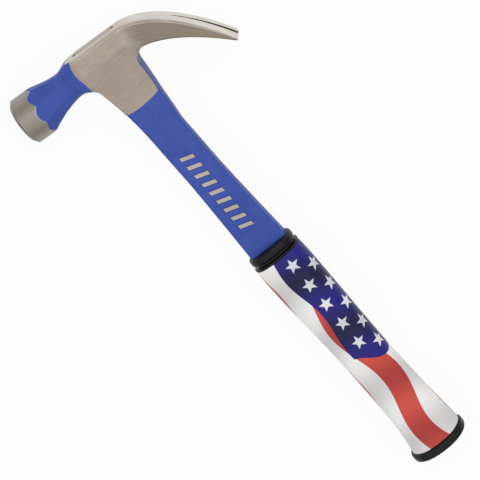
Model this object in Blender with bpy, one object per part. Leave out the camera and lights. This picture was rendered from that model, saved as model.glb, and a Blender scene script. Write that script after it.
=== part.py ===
"""Curved claw hammer, forged in one piece from the striking face to the tang.

The forging is modelled the way it is made. A raw head and a raw shank are
lofted and joined, the cheeks are ground flat, and the nail slot and the eye
in the top of the head are cut. A hickory plug fills the eye, a moulded grip
sits on the tang, and a printed sleeve lies in a seat round the grip.

Design frame: the origin is where the head's axis crosses the centre line of
the shank, +X runs up the handle to the head, +Y to the striking face and +Z
through the thickness. The finished hammer lies on its side on z = 0, with
the middle of its outline over the world origin.
"""
import math

import bmesh
import bpy
from mathutils import Vector

MM = 0.001

# Head. A reach is measured along the head's axis from the shank's centre line
HEAD_CANT = math.radians(3.6)        # the striking end stands this much higher than the claw
FACE_REACH = 61.3 * MM               # edge of the striking face
FACE_CROWN = 0.8 * MM                # rise of the face's middle over its edge
FACE_CHAMFER = 2.2 * MM              # width of the chamfer round the face
FACE_CHAMFER_LENGTH = 1.8 * MM
BELL_DIAMETER = 29.2 * MM
BELL_LENGTH = 12.5 * MM              # face edge to where the flats of the poll begin
POLL_WAIST_REACH = 29.8 * MM         # thinnest place of the octagonal poll
POLL_WAIST_ABOVE = 11.5 * MM         # its top flat over the head's axis
POLL_WAIST_WIDTH = 19.6 * MM
POLL_BELOW = 6.2 * MM                # its bottom flat under the axis, beside the throat
POLL_LEVEL_REACH = 21.3 * MM         # where the bottom flat starts to drop to the bell
HEAD_TOP = 14.6 * MM                 # flat top of the head over the axis
CHEEK_TOP_REACH = 18.5 * MM          # where the flat top ends, towards the poll
CHEEK_SIDE_REACH = 13.0 * MM         # where the cheeks reach their full width
CHEEK_WIDTH = 24.0 * MM              # across the ground cheeks
CHEEK_CHAMFER = 1.6 * MM
GRINDING_STOCK = 0.6 * MM            # metal that the dies leave on each cheek

# Claw. Its back is a parabola and its depth falls evenly along that curve
CLAW_START = 11.7 * MM               # where the flat top begins to bend
CLAW_BEND_RADIUS = 36.9 * MM         # radius of the bend where it begins
CLAW_REACH = 69.4 * MM               # to the tips
CLAW_ROOT_DEPTH = 19.0 * MM
CLAW_TIP_DEPTH = 1.2 * MM
CLAW_WAIST_AT = 10.0 * MM            # along the curve, where the claw is narrowest
CLAW_WAIST_WIDTH = 23.4 * MM
CLAW_TIP_WIDTH = 26.0 * MM
CLAW_CROWN = 0.7 * MM                # rise of the middle of the back over its sides
CLAW_CHAMFER = 1.0 * MM
CLAW_TIP_CHAMFER = 0.3 * MM
SLOT_LENGTH = 39.0 * MM              # nail slot, from the tips to its root
SLOT_TIP_WIDTH = 5.2 * MM
SLOT_ROOT_WIDTH = 0.9 * MM

# Eye in the top of the head, and the plug that fills it
EYE_LENGTH = 29.0 * MM
EYE_WIDTH = 12.0 * MM
EYE_DEPTH = 16.0 * MM
PLUG_CLEARANCE = 0.3 * MM
PLUG_END_GAP = 1.1 * MM              # open crescent left at each end of the eye
PLUG_SUNK = 0.25 * MM                # plug top under the head's top

# Shank. Distances are measured down the handle from the head's axis
HANDLE_REACH = 311.0 * MM            # to the butt of the grip
NECK_TOP = 13.0 * MM
NECK_FRONT = 13.7 * MM               # centre line to the poll side
NECK_BACK = 14.9 * MM                # centre line to the claw side
NECK_STOCK = 1.6 * MM                # metal over the ground surface, level with the axis
NECK_LENGTH = 52.0 * MM              # where the neck has drawn in to the shank
NECK_GROUND_END = 31.0 * MM          # where the ground surface runs out
CHEEK_TAPER_RISE = 3.0 * MM          # over the axis, where the cheeks begin to thin
NECK_THIN_END = 45.0 * MM            # where the neck is as thin as the shank
THROAT_RADIUS = 7.5 * MM
SHANK_ROOT_RISE = 5.0 * MM           # how far the shank runs into the head over its axis
SHANK_WIDTH = 21.7 * MM
SHANK_THICKNESS = 11.5 * MM
SHANK_MOUTH_WIDTH = 25.7 * MM        # where it enters the grip
SHANK_WIDENING_LENGTH = 57.0 * MM
TANG_WIDTH = 17.0 * MM
TANG_THICKNESS = 7.0 * MM
TANG_SHOULDER_LENGTH = 24.0 * MM     # mouth of the grip to the plain tang
TANG_END_WALL = 14.0 * MM            # grip material between the tang and the butt
TANG_TIP_CHAMFER = 1.5 * MM

# Grip. Distances are measured from its mouth to the butt
GRIP_LENGTH = 168.0 * MM
SOCKET_CLEARANCE = 0.3 * MM
MOUTH_WALL = 2.05 * MM               # collar beside the shank
MOUTH_HEIGHT = 24.2 * MM
BEAD_LENGTH = 4.9 * MM
BEAD_RADIUS = 1.8 * MM               # rounding of its edge beside the shank
BEAD_BACK_RADIUS = 1.2 * MM          # rounding of its edge beside the groove
GROOVE_LENGTH = 1.6 * MM
GROOVE_DEPTH = 1.8 * MM              # under the top of the bead
GROOVE_WALL = 0.6 * MM               # run of the sloping walls of groove and ridge
RIDGE_LENGTH = 1.7 * MM
RIDGE_RISE = 0.3 * MM                # ridge over the sleeve beside it
SWELL_AT = 18.0 * MM
SWELL_WIDTH = 32.1 * MM
SWELL_HEIGHT = 25.0 * MM
WAIST_AT = 93.0 * MM
WAIST_FRONT = 13.85 * MM             # centre line to the finger side
WAIST_BACK = 15.35 * MM              # centre line to the palm side
WAIST_HEIGHT = 23.2 * MM
END_FRONT = 17.2 * MM                # where the sleeve meets the flange
END_BACK = 17.9 * MM
END_HEIGHT = 26.6 * MM
FLANGE_LENGTH = 5.6 * MM
FLANGE_WIDTH = 38.0 * MM
FLANGE_HEIGHT = 29.2 * MM
FLANGE_RADIUS = 1.6 * MM
BUTT_DOME = 2.2 * MM
BUTT_BOW = 1.2 * MM                 # how far the sides of the curved butt stand back from its middle
BUTT_BOW_RUN = 24.0 * MM             # length of the grip over which that curve begins

# Sleeve in its seat round the grip
SLEEVE_THICKNESS = 0.5 * MM
SLEEVE_CLEARANCE = 0.3 * MM

# Shapes of the curves and sections
BELL_EASE = 1.7                      # power of the poll's flare into the bell
NECK_FRONT_EASE = 2.0
NECK_BACK_EASE = 0.85
NECK_THIN_EASE = 1.6
NECK_STOCK_EASE = 4.0
WIDENING_EASE = 1.2
END_FRONT_EASE = 4.0                 # the finger side flares late, the palm side early
END_BACK_EASE = 1.5
END_HEIGHT_EASE = 2.0
NECK_SQUARENESS = 10.0               # exponent of the sections: 2 is an oval
SHANK_SQUARENESS = 7.0
GRIP_SQUARENESS = 2.4
SIDE_STEPS = 5                       # points on each of a head section's eight sides
RING_POINTS = 40                     # points round a section of the handle
BELL_STEPS = 12                      # sections from the bell to the poll's waist
CHEEK_STEPS = 8                      # sections from the waist to the cheeks
CLAW_STEPS = 20
GRINDING_STEPS = 10                  # along the taper of the ground cheeks
THROAT_STEPS = 6
NECK_STEPS = 16
SHANK_STEPS = 9
SHOULDER_STEPS = 5
SLEEVE_STEPS = 15
EDGE_STEPS = 3                       # sections round an edge of the grip
ROUND_STEPS = 12                     # points round half of the eye or of the slot's root
FACE_SHARES = (0.1, 0.4, 0.7, 1.0)   # radii of the crowned face's sections
DOME_SHARES = (0.75, 0.4, 0.1)       # sizes of the domed butt's sections
OCTAGON_CUT = 1 - math.tan(math.radians(22.5))
CUTTER_OVERRUN = 15.0 * MM
HALVINGS = 40
SHARP_ANGLE = math.radians(30)

# Linear colours of the materials
STEEL_COLOUR = (0.42, 0.38, 0.34)
HICKORY_COLOUR = (0.52, 0.38, 0.22)
VINYL_COLOUR = (0.02, 0.02, 0.022)
FILM_COLOUR = (0.06, 0.06, 0.25)

MOUTH_AT = HANDLE_REACH - GRIP_LENGTH
BELL_RADIUS = BELL_DIAMETER / 2
BELL_BACK = FACE_REACH - BELL_LENGTH
SEAT_START = BEAD_LENGTH + GROOVE_LENGTH + RIDGE_LENGTH
FLANGE_START = GRIP_LENGTH - BUTT_DOME - FLANGE_LENGTH


def clamp(value):
    """The value held between 0 and 1."""
    return min(max(value, 0.0), 1.0)


def positive(value):
    """The value, or 0 where it is less."""
    return max(value, 0.0)


def ease(value):
    """A smooth step from 0 to 1, level at both ends."""
    held = clamp(value)
    return held * held * (3 - 2 * held)


def mix(start, end, share):
    """The value that lies the given share of the way from start to end."""
    return start + (end - start) * share


def spaced(start, end, steps):
    """Evenly spaced values from start to end, both included."""
    return [mix(start, end, step / steps) for step in range(steps + 1)]


def head_point(reach, rise, across):
    """A point given along the head's axis, over it and across it."""
    turn, lift = math.cos(HEAD_CANT), math.sin(HEAD_CANT)
    return Vector((rise * turn + reach * lift, reach * turn - rise * lift, across))


def material(name, colour, roughness, metallic=0.0):
    """A plain Principled material."""
    made = bpy.data.materials.new(name)
    made.use_nodes = True
    shader = made.node_tree.nodes["Principled BSDF"]
    shader.inputs["Base Color"].default_value = (*colour, 1.0)
    shader.inputs["Roughness"].default_value = roughness
    shader.inputs["Metallic"].default_value = metallic
    return made


def loft(name, rings, rest, finish=None, closed=False):
    """A solid through rings of points, with flat ends, or closed round into a tube."""
    form = bmesh.new()
    loops = [[form.verts.new(point) for point in ring] for ring in rings]
    pairs = list(zip(loops, loops[1:]))
    if closed:
        pairs.append((loops[-1], loops[0]))
    else:
        form.faces.new(loops[0])
        form.faces.new(loops[-1])
    for near, far in pairs:
        for index, corner in enumerate(near):
            form.faces.new((near[index - 1], corner, far[index], far[index - 1]))
    bmesh.ops.recalc_face_normals(form, faces=form.faces)
    mesh = bpy.data.meshes.new(name)
    form.to_mesh(mesh)
    form.free()
    mesh.shade_smooth()
    mesh.set_sharp_from_angle(angle=SHARP_ANGLE)
    made = bpy.data.objects.new(name, mesh)
    bpy.context.scene.collection.objects.link(made)
    made.parent = rest
    if finish:
        mesh.materials.append(finish)
    return made


def combine(target, operation, tool):
    """Join a tool to the target, or cut it out, and keep the tool as a hidden guide."""
    step = target.modifiers.new(tool.name, "BOOLEAN")
    step.operation = operation
    step.solver = "EXACT"
    step.object = tool
    tool.hide_render = True
    tool.display_type = "WIRE"


def oval_ring(x, front, back, half_height, squareness):
    """A rounded section across the handle, with its own reach to the front and the back."""
    ring = []
    for index in range(RING_POINTS):
        angle = math.tau * index / RING_POINTS
        side, up = math.cos(angle), math.sin(angle)
        reach = front if side > 0 else back
        y = math.copysign(reach * abs(side) ** (2 / squareness), side)
        z = math.copysign(half_height * abs(up) ** (2 / squareness), up)
        ring.append(Vector((x, y, z)))
    return ring


# Head

def poll_top(reach):
    """Height of the top flat over the axis, from the bell over the waist to the cheeks."""
    to_bell = positive((reach - POLL_WAIST_REACH) / (BELL_BACK - POLL_WAIST_REACH))
    to_cheek = ease((POLL_WAIST_REACH - reach) / (POLL_WAIST_REACH - CHEEK_TOP_REACH))
    return (POLL_WAIST_ABOVE + (BELL_RADIUS - POLL_WAIST_ABOVE) * to_bell ** BELL_EASE
            + (HEAD_TOP - POLL_WAIST_ABOVE) * to_cheek)


def poll_bottom(reach):
    """Depth of the bottom flat under the axis, from the bell to the start of the claw."""
    to_bell = positive((reach - POLL_LEVEL_REACH) / (BELL_BACK - POLL_LEVEL_REACH))
    to_claw = clamp((POLL_LEVEL_REACH - reach) / (POLL_LEVEL_REACH + CLAW_START))
    claw_depth = CLAW_ROOT_DEPTH - HEAD_TOP
    return (mix(POLL_BELOW, claw_depth, to_claw)
            + (BELL_RADIUS - POLL_BELOW) * to_bell ** BELL_EASE)


def poll_half_width(reach):
    """Half the width of the raw poll and cheeks, before the cheeks are ground."""
    waist = POLL_WAIST_WIDTH / 2
    raw_cheek = CHEEK_WIDTH / 2 + GRINDING_STOCK
    to_bell = positive((reach - POLL_WAIST_REACH) / (BELL_BACK - POLL_WAIST_REACH))
    to_cheek = ease((POLL_WAIST_REACH - reach) / (POLL_WAIST_REACH - CHEEK_SIDE_REACH))
    return (waist + (BELL_RADIUS - waist) * to_bell ** BELL_EASE
            + (raw_cheek - waist) * to_cheek)


def chamfered_section(top, bottom, half_width, cut_rise, cut_across):
    """Points round a chamfered rectangle, as rise and across, evenly on its eight sides."""
    inner = half_width - cut_across
    right = [(top, inner), (top - cut_rise, half_width),
             (bottom + cut_rise, half_width), (bottom, inner)]
    corners = right + [(rise, -across) for rise, across in reversed(right)]
    points = []
    for index, (rise, across) in enumerate(corners):
        next_rise, next_across = corners[(index + 1) % len(corners)]
        for step in range(SIDE_STEPS):
            share = step / SIDE_STEPS
            points.append((mix(rise, next_rise, share), mix(across, next_across, share)))
    return points


def poll_ring(reach, turned_radius):
    """A section of the octagonal poll, with its corners turned down to a radius."""
    top, bottom, half_width = poll_top(reach), poll_bottom(reach), poll_half_width(reach)
    squared = ease((POLL_WAIST_REACH - reach) / (POLL_WAIST_REACH - CHEEK_SIDE_REACH))
    cut_rise = mix(OCTAGON_CUT * (top + bottom) / 2, CHEEK_CHAMFER, squared)
    cut_across = mix(OCTAGON_CUT * half_width, CHEEK_CHAMFER + GRINDING_STOCK, squared)
    ring = []
    for rise, across in chamfered_section(top, -bottom, half_width, cut_rise, cut_across):
        trim = min(1.0, turned_radius / math.hypot(rise, across))
        ring.append(head_point(reach, rise * trim, across * trim))
    return ring


def face_ring(reach, radius):
    """A turned section in front of the bell: the poll's points drawn out to a circle."""
    ring = []
    for rise, across in chamfered_section(radius, -radius, radius,
                                          OCTAGON_CUT * radius, OCTAGON_CUT * radius):
        trim = radius / math.hypot(rise, across)
        ring.append(head_point(reach, rise * trim, across * trim))
    return ring


def claw_span():
    """Length along the axis from the start of the bend to the tips."""
    return CLAW_REACH - CLAW_START


def claw_curve_length(run):
    """Length of the claw's back over a run along the axis: the arc of a parabola."""
    slope = run / CLAW_BEND_RADIUS
    return CLAW_BEND_RADIUS / 2 * (slope * math.hypot(1, slope) + math.asinh(slope))


def claw_run(along):
    """Run along the axis to a length along the claw's back, found by halving."""
    low, high = 0.0, claw_span()
    for _ in range(HALVINGS):
        middle = (low + high) / 2
        if claw_curve_length(middle) < along:
            low = middle
        else:
            high = middle
    return high


def claw_frame(run):
    """Reach and rise of the claw's back, and its outward normal in the same terms."""
    slope = run / CLAW_BEND_RADIUS
    length = math.hypot(1, slope)
    back = (-CLAW_START - run, HEAD_TOP - run * slope / 2)
    return back, (-slope / length, 1 / length)


def claw_depth(run):
    """Depth of the claw square to its back, falling evenly along the curve."""
    return mix(CLAW_ROOT_DEPTH, CLAW_TIP_DEPTH,
               claw_curve_length(run) / claw_curve_length(claw_span()))


def claw_underside(run):
    """The point under the claw's back, in the middle of its width."""
    (reach, rise), (out_reach, out_rise) = claw_frame(run)
    depth = claw_depth(run)
    return head_point(reach - out_reach * depth, rise - out_rise * depth, 0.0)


def claw_half_width(run):
    """Half the width of the claw: cheek, then its waist, then out to the tips."""
    along = claw_curve_length(run)
    raw_cheek = CHEEK_WIDTH / 2 + GRINDING_STOCK
    waist = CLAW_WAIST_WIDTH / 2
    if along < CLAW_WAIST_AT:
        return mix(raw_cheek, waist, ease(along / CLAW_WAIST_AT))
    left = (along - CLAW_WAIST_AT) / (claw_curve_length(claw_span()) - CLAW_WAIST_AT)
    return mix(waist, CLAW_TIP_WIDTH / 2, left)


def claw_ring(run):
    """A section of the claw, square to its back, with the back crowned across."""
    (reach, rise), (out_reach, out_rise) = claw_frame(run)
    along = claw_curve_length(run)
    to_waist = ease(along / CLAW_WAIST_AT)
    cut = mix(mix(CHEEK_CHAMFER, CLAW_CHAMFER, to_waist), CLAW_TIP_CHAMFER,
              along / claw_curve_length(claw_span()))
    depth, half_width = claw_depth(run), claw_half_width(run)
    ring = []
    for lift, across in chamfered_section(0.0, -depth, half_width, cut, cut):
        crown = CLAW_CROWN * to_waist * (1 - (across / half_width) ** 2) * (1 + lift / depth)
        ring.append(head_point(reach + out_reach * (lift + crown),
                               rise + out_rise * (lift + crown), across))
    return ring


def head_rings():
    """Sections of the raw head, from the middle of the face to the claw's tips."""
    rim = BELL_RADIUS - FACE_CHAMFER
    rings = []
    for share in FACE_SHARES:
        rings.append(face_ring(FACE_REACH + FACE_CROWN * (1 - share ** 2), rim * share))
    rings.append(face_ring(FACE_REACH - FACE_CHAMFER_LENGTH, BELL_RADIUS))
    for reach in spaced(BELL_BACK, POLL_WAIST_REACH, BELL_STEPS):
        rings.append(poll_ring(reach, BELL_RADIUS))
    for reach in spaced(POLL_WAIST_REACH, CHEEK_SIDE_REACH, CHEEK_STEPS)[1:]:
        rings.append(poll_ring(reach, math.inf))
    for along in spaced(0.0, claw_curve_length(claw_span()), CLAW_STEPS):
        rings.append(claw_ring(claw_run(along)))
    return rings


# Shank

def throat_levels():
    """Height along the handle of the head's underside in front of the neck and behind it."""
    reach = NECK_FRONT + THROAT_RADIUS
    front = head_point(reach, -poll_bottom(reach), 0.0).x
    back = max(claw_underside(run).x for run in spaced(0.0, claw_span() / 2, CLAW_STEPS))
    return front, back


def flare(x, level):
    """Extra half width of the neck where it curves out to meet the head at a level."""
    rise = min(positive(x - (level - THROAT_RADIUS)), THROAT_RADIUS)
    return THROAT_RADIUS - math.sqrt(THROAT_RADIUS ** 2 - rise ** 2)


def thinning(down):
    """Share of the way from the cheeks' thickness to the shank's: fast at first, then slow."""
    left = clamp((NECK_THIN_END - down) / (NECK_THIN_END + CHEEK_TAPER_RISE))
    return 1 - left ** NECK_THIN_EASE


def ground_half_thickness(down):
    """Half the thickness between the ground cheeks, and on down the neck and the shank."""
    return mix(CHEEK_WIDTH, SHANK_THICKNESS, thinning(down)) / 2


def shank_section(down):
    """Front, back, half thickness and squareness of shank and tang, down the handle."""
    to_neck = clamp((NECK_LENGTH - down) / (NECK_LENGTH - NECK_TOP))
    to_mouth = clamp((down - MOUTH_AT) / SHANK_WIDENING_LENGTH + 1)
    to_tang = ease((down - MOUTH_AT) / TANG_SHOULDER_LENGTH)
    half_width = (SHANK_WIDTH + (SHANK_MOUTH_WIDTH - SHANK_WIDTH) * to_mouth ** WIDENING_EASE
                  + (TANG_WIDTH - SHANK_MOUTH_WIDTH) * to_tang) / 2
    front = half_width + (NECK_FRONT - SHANK_WIDTH / 2) * to_neck ** NECK_FRONT_EASE
    back = half_width + (NECK_BACK - SHANK_WIDTH / 2) * to_neck ** NECK_BACK_EASE
    half_height = (ground_half_thickness(down)
                   + (TANG_THICKNESS - SHANK_THICKNESS) / 2 * to_tang
                   + NECK_STOCK * positive(1 - positive(down / NECK_GROUND_END) ** NECK_STOCK_EASE))
    squareness = mix(NECK_SQUARENESS, SHANK_SQUARENESS, thinning(down))
    return front, back, half_height, squareness


def shank_stations():
    """Distances down the handle, from inside the head to the mouth of the grip."""
    level = max(throat_levels())
    stations = [-SHANK_ROOT_RISE]
    for angle in spaced(math.pi / 2, 0.0, THROAT_STEPS)[:-1]:
        stations.append(THROAT_RADIUS * (1 - math.sin(angle)) - level)
    stations += spaced(THROAT_RADIUS - level, NECK_THIN_END, NECK_STEPS)
    stations += spaced(NECK_THIN_END, MOUTH_AT, SHANK_STEPS)[1:]
    return stations


def tang_stations():
    """Distances down the handle inside the grip, from its mouth to the tang's chamfer."""
    plain = MOUTH_AT + TANG_SHOULDER_LENGTH
    stations = spaced(MOUTH_AT, plain, SHOULDER_STEPS)
    stations.append(HANDLE_REACH - TANG_END_WALL - TANG_TIP_CHAMFER)
    return stations


def shank_ring(down):
    """A section of the shank with the throat's flare in front and behind."""
    front, back, half_height, squareness = shank_section(down)
    front_level, back_level = throat_levels()
    return oval_ring(-down, front + flare(-down, front_level), back + flare(-down, back_level),
                     half_height, squareness)


def tang_ring(down, grow):
    """A section of the tang, grown by a clearance or shrunk by a chamfer."""
    front, back, half_height, squareness = shank_section(down)
    return oval_ring(-down, front + grow, back + grow, half_height + grow, squareness)


def shank_rings():
    """Sections of the raw shank, from inside the head to the tip of the tang."""
    rings = [shank_ring(down) for down in shank_stations()]
    rings += [tang_ring(down, 0.0) for down in tang_stations()[1:]]
    rings.append(tang_ring(HANDLE_REACH - TANG_END_WALL, -TANG_TIP_CHAMFER))
    return rings


# Cutters

def grinding_block(name, side, rest):
    """A block over one side of the cheeks and the neck, above side 1 or below side -1."""
    top, outer = HEAD_TOP + CUTTER_OVERRUN, CHEEK_WIDTH / 2 + CUTTER_OVERRUN
    taper = [(-down, ground_half_thickness(down))
             for down in spaced(-CHEEK_TAPER_RISE, NECK_GROUND_END, GRINDING_STEPS)]
    run_out = (-NECK_THIN_END, ground_half_thickness(NECK_GROUND_END))
    taper = [(top, CHEEK_WIDTH / 2)] + taper + [run_out]
    poll_end = NECK_FRONT + THROAT_RADIUS
    level = {-CLAW_START - CLAW_WAIST_AT: CLAW_WAIST_WIDTH / 2, poll_end: poll_half_width(poll_end)}
    rings = []
    for y in (-CLAW_START - CLAW_WAIST_AT, -NECK_BACK, NECK_FRONT, poll_end):
        profile = [(x, level.get(y, z)) for x, z in taper] + [(-NECK_THIN_END, outer), (top, outer)]
        rings.append([Vector((x, y, side * z)) for x, z in profile])
    return loft(name, rings, rest)


def half_round(width):
    """Points round half a circle of a given width, bulging to the first axis."""
    angles = spaced(-math.pi / 2, math.pi / 2, ROUND_STEPS)
    return [(width / 2 * math.cos(angle), width / 2 * math.sin(angle)) for angle in angles]


def slot_cutter(rest):
    """A wedge through the claw, as long as the nail slot and running out past the tips."""
    tip_run = claw_span()
    (root_reach, root_rise), _ = claw_frame(claw_run(claw_curve_length(tip_run) - SLOT_LENGTH))
    (tip_reach, tip_rise), _ = claw_frame(tip_run)
    chord = math.hypot(tip_reach - root_reach, tip_rise - root_rise)
    along = ((tip_reach - root_reach) / chord, (tip_rise - root_rise) / chord)
    past = 1 + CUTTER_OVERRUN / chord
    end_half = mix(SLOT_ROOT_WIDTH, SLOT_TIP_WIDTH, past) / 2
    plan = [(chord * past, end_half), (chord * past, -end_half)]
    plan += [(SLOT_ROOT_WIDTH / 2 - run, across) for run, across in half_round(SLOT_ROOT_WIDTH)]
    rings = []
    for lift in (-CLAW_ROOT_DEPTH, CUTTER_OVERRUN):
        rings.append([head_point(root_reach + along[0] * run + along[1] * lift,
                                 root_rise + along[1] * run - along[0] * lift, across)
                      for run, across in plan])
    return loft("nail_slot_cutter", rings, rest)


def obround_rings(length, width, low, high):
    """Two outlines with round ends, across the head's top, at two heights over the axis."""
    straight = (length - width) / 2
    plan = [(end * (straight + reach), end * across)
            for end in (1, -1) for reach, across in half_round(width)]
    return [[head_point(reach, rise, across) for reach, across in plan] for rise in (low, high)]


# Pieces

def head_and_shank(rest):
    """The forging: raw head and shank joined, cheeks ground, slot and eye cut."""
    steel = material("belt_ground_steel", STEEL_COLOUR, roughness=0.38, metallic=1.0)
    forging = loft("head_and_shank", head_rings(), rest, steel)
    combine(forging, "UNION", loft("raw_shank", shank_rings(), rest))
    combine(forging, "DIFFERENCE", grinding_block("upper_grinding", 1, rest))
    combine(forging, "DIFFERENCE", grinding_block("lower_grinding", -1, rest))
    combine(forging, "DIFFERENCE", slot_cutter(rest))
    eye = obround_rings(EYE_LENGTH, EYE_WIDTH, HEAD_TOP - EYE_DEPTH, HEAD_TOP + CUTTER_OVERRUN)
    combine(forging, "DIFFERENCE", loft("eye_cutter", eye, rest))
    return forging


def shock_plug(rest):
    """Hickory plug in the eye, a little short of its round ends and just under the top."""
    hickory = material("hickory_end_grain", HICKORY_COLOUR, roughness=0.7)
    rings = obround_rings(EYE_LENGTH - 2 * PLUG_END_GAP, EYE_WIDTH - 2 * PLUG_CLEARANCE,
                          HEAD_TOP - EYE_DEPTH + PLUG_CLEARANCE, HEAD_TOP - PLUG_SUNK)
    return loft("shock_plug", rings, rest, hickory)


def grip_form(along):
    """Front, back and half height of the dressed grip, from its mouth to the flange."""
    mouth = SHANK_MOUTH_WIDTH / 2 + SOCKET_CLEARANCE + MOUTH_WALL
    to_swell = ease(along / SWELL_AT)
    to_waist = ease((along - SWELL_AT) / (WAIST_AT - SWELL_AT))
    to_end = clamp((along - WAIST_AT) / (FLANGE_START - WAIST_AT))
    swell = SWELL_WIDTH / 2
    front = mix(mix(mix(mouth, swell, to_swell), WAIST_FRONT, to_waist),
                END_FRONT, to_end ** END_FRONT_EASE)
    back = mix(mix(mix(mouth, swell, to_swell), WAIST_BACK, to_waist),
               END_BACK, to_end ** END_BACK_EASE)
    height = mix(mix(mix(MOUTH_HEIGHT, SWELL_HEIGHT, to_swell), WAIST_HEIGHT, to_waist),
                 END_HEIGHT, to_end ** END_HEIGHT_EASE)
    return front, back, height / 2


def bowed(ring, along):
    """A section with its sides drawn up the handle, so that the butt is a shallow curve."""
    bow = BUTT_BOW * ease((along - FLANGE_START) / BUTT_BOW_RUN + 1)
    return [point + Vector((bow * (2 * point.y / FLANGE_WIDTH) ** 2, 0.0, 0.0)) for point in ring]


def grip_ring(along, grow):
    """A section of the grip, grown over or sunk under its dressed form."""
    front, back, half_height = grip_form(along)
    return bowed(oval_ring(-MOUTH_AT - along, front + grow, back + grow, half_height + grow,
                           GRIP_SQUARENESS), along)


def flange_ring(along, share, inset):
    """A section of the butt flange, as a share of its size less an inset."""
    half_width, half_height = FLANGE_WIDTH / 2 - inset, FLANGE_HEIGHT / 2 - inset
    return bowed(oval_ring(-MOUTH_AT - along, half_width * share, half_width * share,
                           half_height * share, GRIP_SQUARENESS), along)


def seat_stations():
    """Distances from the mouth of the sections that grip and sleeve share."""
    return spaced(SEAT_START, FLANGE_START, SLEEVE_STEPS)


def rounded_edge(radius):
    """Run and inset of a quarter round, from its full inset to none."""
    angles = spaced(0.0, math.pi / 2, EDGE_STEPS)
    return [(radius * (1 - math.cos(angle)), radius * (1 - math.sin(angle))) for angle in angles]


def grip_rings():
    """Sections of the grip: up the socket, out over the mouth and along to the butt."""
    rings = [tang_ring(HANDLE_REACH - TANG_END_WALL + SOCKET_CLEARANCE,
                       SOCKET_CLEARANCE - TANG_TIP_CHAMFER)]
    rings += [tang_ring(down, SOCKET_CLEARANCE) for down in reversed(tang_stations())]
    rings += [grip_ring(run, -inset) for run, inset in rounded_edge(BEAD_RADIUS)]
    rings += [grip_ring(BEAD_LENGTH - run, -inset)
              for run, inset in reversed(rounded_edge(BEAD_BACK_RADIUS))]
    ridge_start = BEAD_LENGTH + GROOVE_LENGTH
    rings.append(grip_ring(BEAD_LENGTH + GROOVE_WALL, -GROOVE_DEPTH))
    rings.append(grip_ring(ridge_start, -GROOVE_DEPTH))
    rings.append(grip_ring(ridge_start + GROOVE_WALL, RIDGE_RISE))
    rings.append(grip_ring(SEAT_START, RIDGE_RISE))
    seat_depth = SLEEVE_THICKNESS + SLEEVE_CLEARANCE
    rings += [grip_ring(along, -seat_depth) for along in seat_stations()]
    edge = rounded_edge(FLANGE_RADIUS)
    butt_edge = FLANGE_START + FLANGE_LENGTH
    rings += [flange_ring(FLANGE_START + run, 1.0, inset) for run, inset in edge]
    rings += [flange_ring(butt_edge - run, 1.0, inset) for run, inset in reversed(edge)]
    for share in DOME_SHARES:
        rings.append(flange_ring(butt_edge + BUTT_DOME * (1 - share ** 2), share, FLANGE_RADIUS))
    return rings


def grip(rest):
    """Moulded grip with its collar bead, groove, ridge, seat, flange and tang socket."""
    vinyl = material("black_vinyl", VINYL_COLOUR, roughness=0.5)
    return loft("grip", grip_rings(), rest, vinyl)


def printed_sleeve(rest):
    """Thin film in the seat, clear of the ridge at one end and the flange at the other."""
    film = material("printed_film", FILM_COLOUR, roughness=0.3)
    outer, inner = [], []
    for along in seat_stations():
        held = min(max(along, SEAT_START + SLEEVE_CLEARANCE), FLANGE_START - SLEEVE_CLEARANCE)
        outer.append(grip_ring(held, 0.0))
        inner.append(grip_ring(held, -SLEEVE_THICKNESS))
    return loft("printed_sleeve", outer + inner[::-1], rest, film, closed=True)


def set_down(rest, pieces):
    """Move the assembly so that it lies on z = 0 with its middle over the origin."""
    bpy.context.view_layer.update()
    graph = bpy.context.evaluated_depsgraph_get()
    corners = []
    for piece in pieces:
        shown = piece.evaluated_get(graph)
        corners += [shown.matrix_world @ Vector(corner) for corner in shown.bound_box]
    low = Vector([min(corner[axis] for corner in corners) for axis in range(3)])
    high = Vector([max(corner[axis] for corner in corners) for axis in range(3)])
    middle = (low + high) / 2
    rest.location = (-middle.x, -middle.y, -low.z)


def main():
    """Build the four pieces and lay the hammer on its side."""
    for leftover in list(bpy.data.objects):
        bpy.data.objects.remove(leftover)
    rest = bpy.data.objects.new("hammer_rest", None)
    bpy.context.scene.collection.objects.link(rest)
    set_down(rest, [head_and_shank(rest), shock_plug(rest), grip(rest), printed_sleeve(rest)])


main()
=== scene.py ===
"""Looks of a curved claw hammer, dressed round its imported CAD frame.

Lengths are millimetres in the hammer's design frame: the origin is where the
head's axis crosses the centre line of the shank, +X runs up the handle to the
head, +Y to the striking face and +Z through the thickness. They become metres
in the row frame when a mesh is made.
"""

import logging
import math
from dataclasses import dataclass, field
from enum import Enum

import bmesh
import bpy
import numpy as np
from mathutils import Matrix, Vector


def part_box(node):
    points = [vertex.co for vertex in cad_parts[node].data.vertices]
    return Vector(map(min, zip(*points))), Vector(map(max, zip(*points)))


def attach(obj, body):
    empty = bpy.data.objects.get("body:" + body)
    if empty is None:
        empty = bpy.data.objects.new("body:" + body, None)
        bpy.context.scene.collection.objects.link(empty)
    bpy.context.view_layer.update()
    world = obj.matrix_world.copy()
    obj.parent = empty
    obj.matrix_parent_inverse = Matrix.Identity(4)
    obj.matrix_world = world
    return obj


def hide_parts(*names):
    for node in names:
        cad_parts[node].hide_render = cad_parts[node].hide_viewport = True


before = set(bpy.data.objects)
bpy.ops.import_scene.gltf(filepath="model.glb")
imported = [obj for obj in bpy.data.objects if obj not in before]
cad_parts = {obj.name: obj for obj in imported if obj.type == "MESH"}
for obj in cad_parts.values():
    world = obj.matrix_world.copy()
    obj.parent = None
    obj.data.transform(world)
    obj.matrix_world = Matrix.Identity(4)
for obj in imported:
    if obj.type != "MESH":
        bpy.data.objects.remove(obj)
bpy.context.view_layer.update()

LOG = logging.getLogger("hammer")
BODY = "root"
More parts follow.
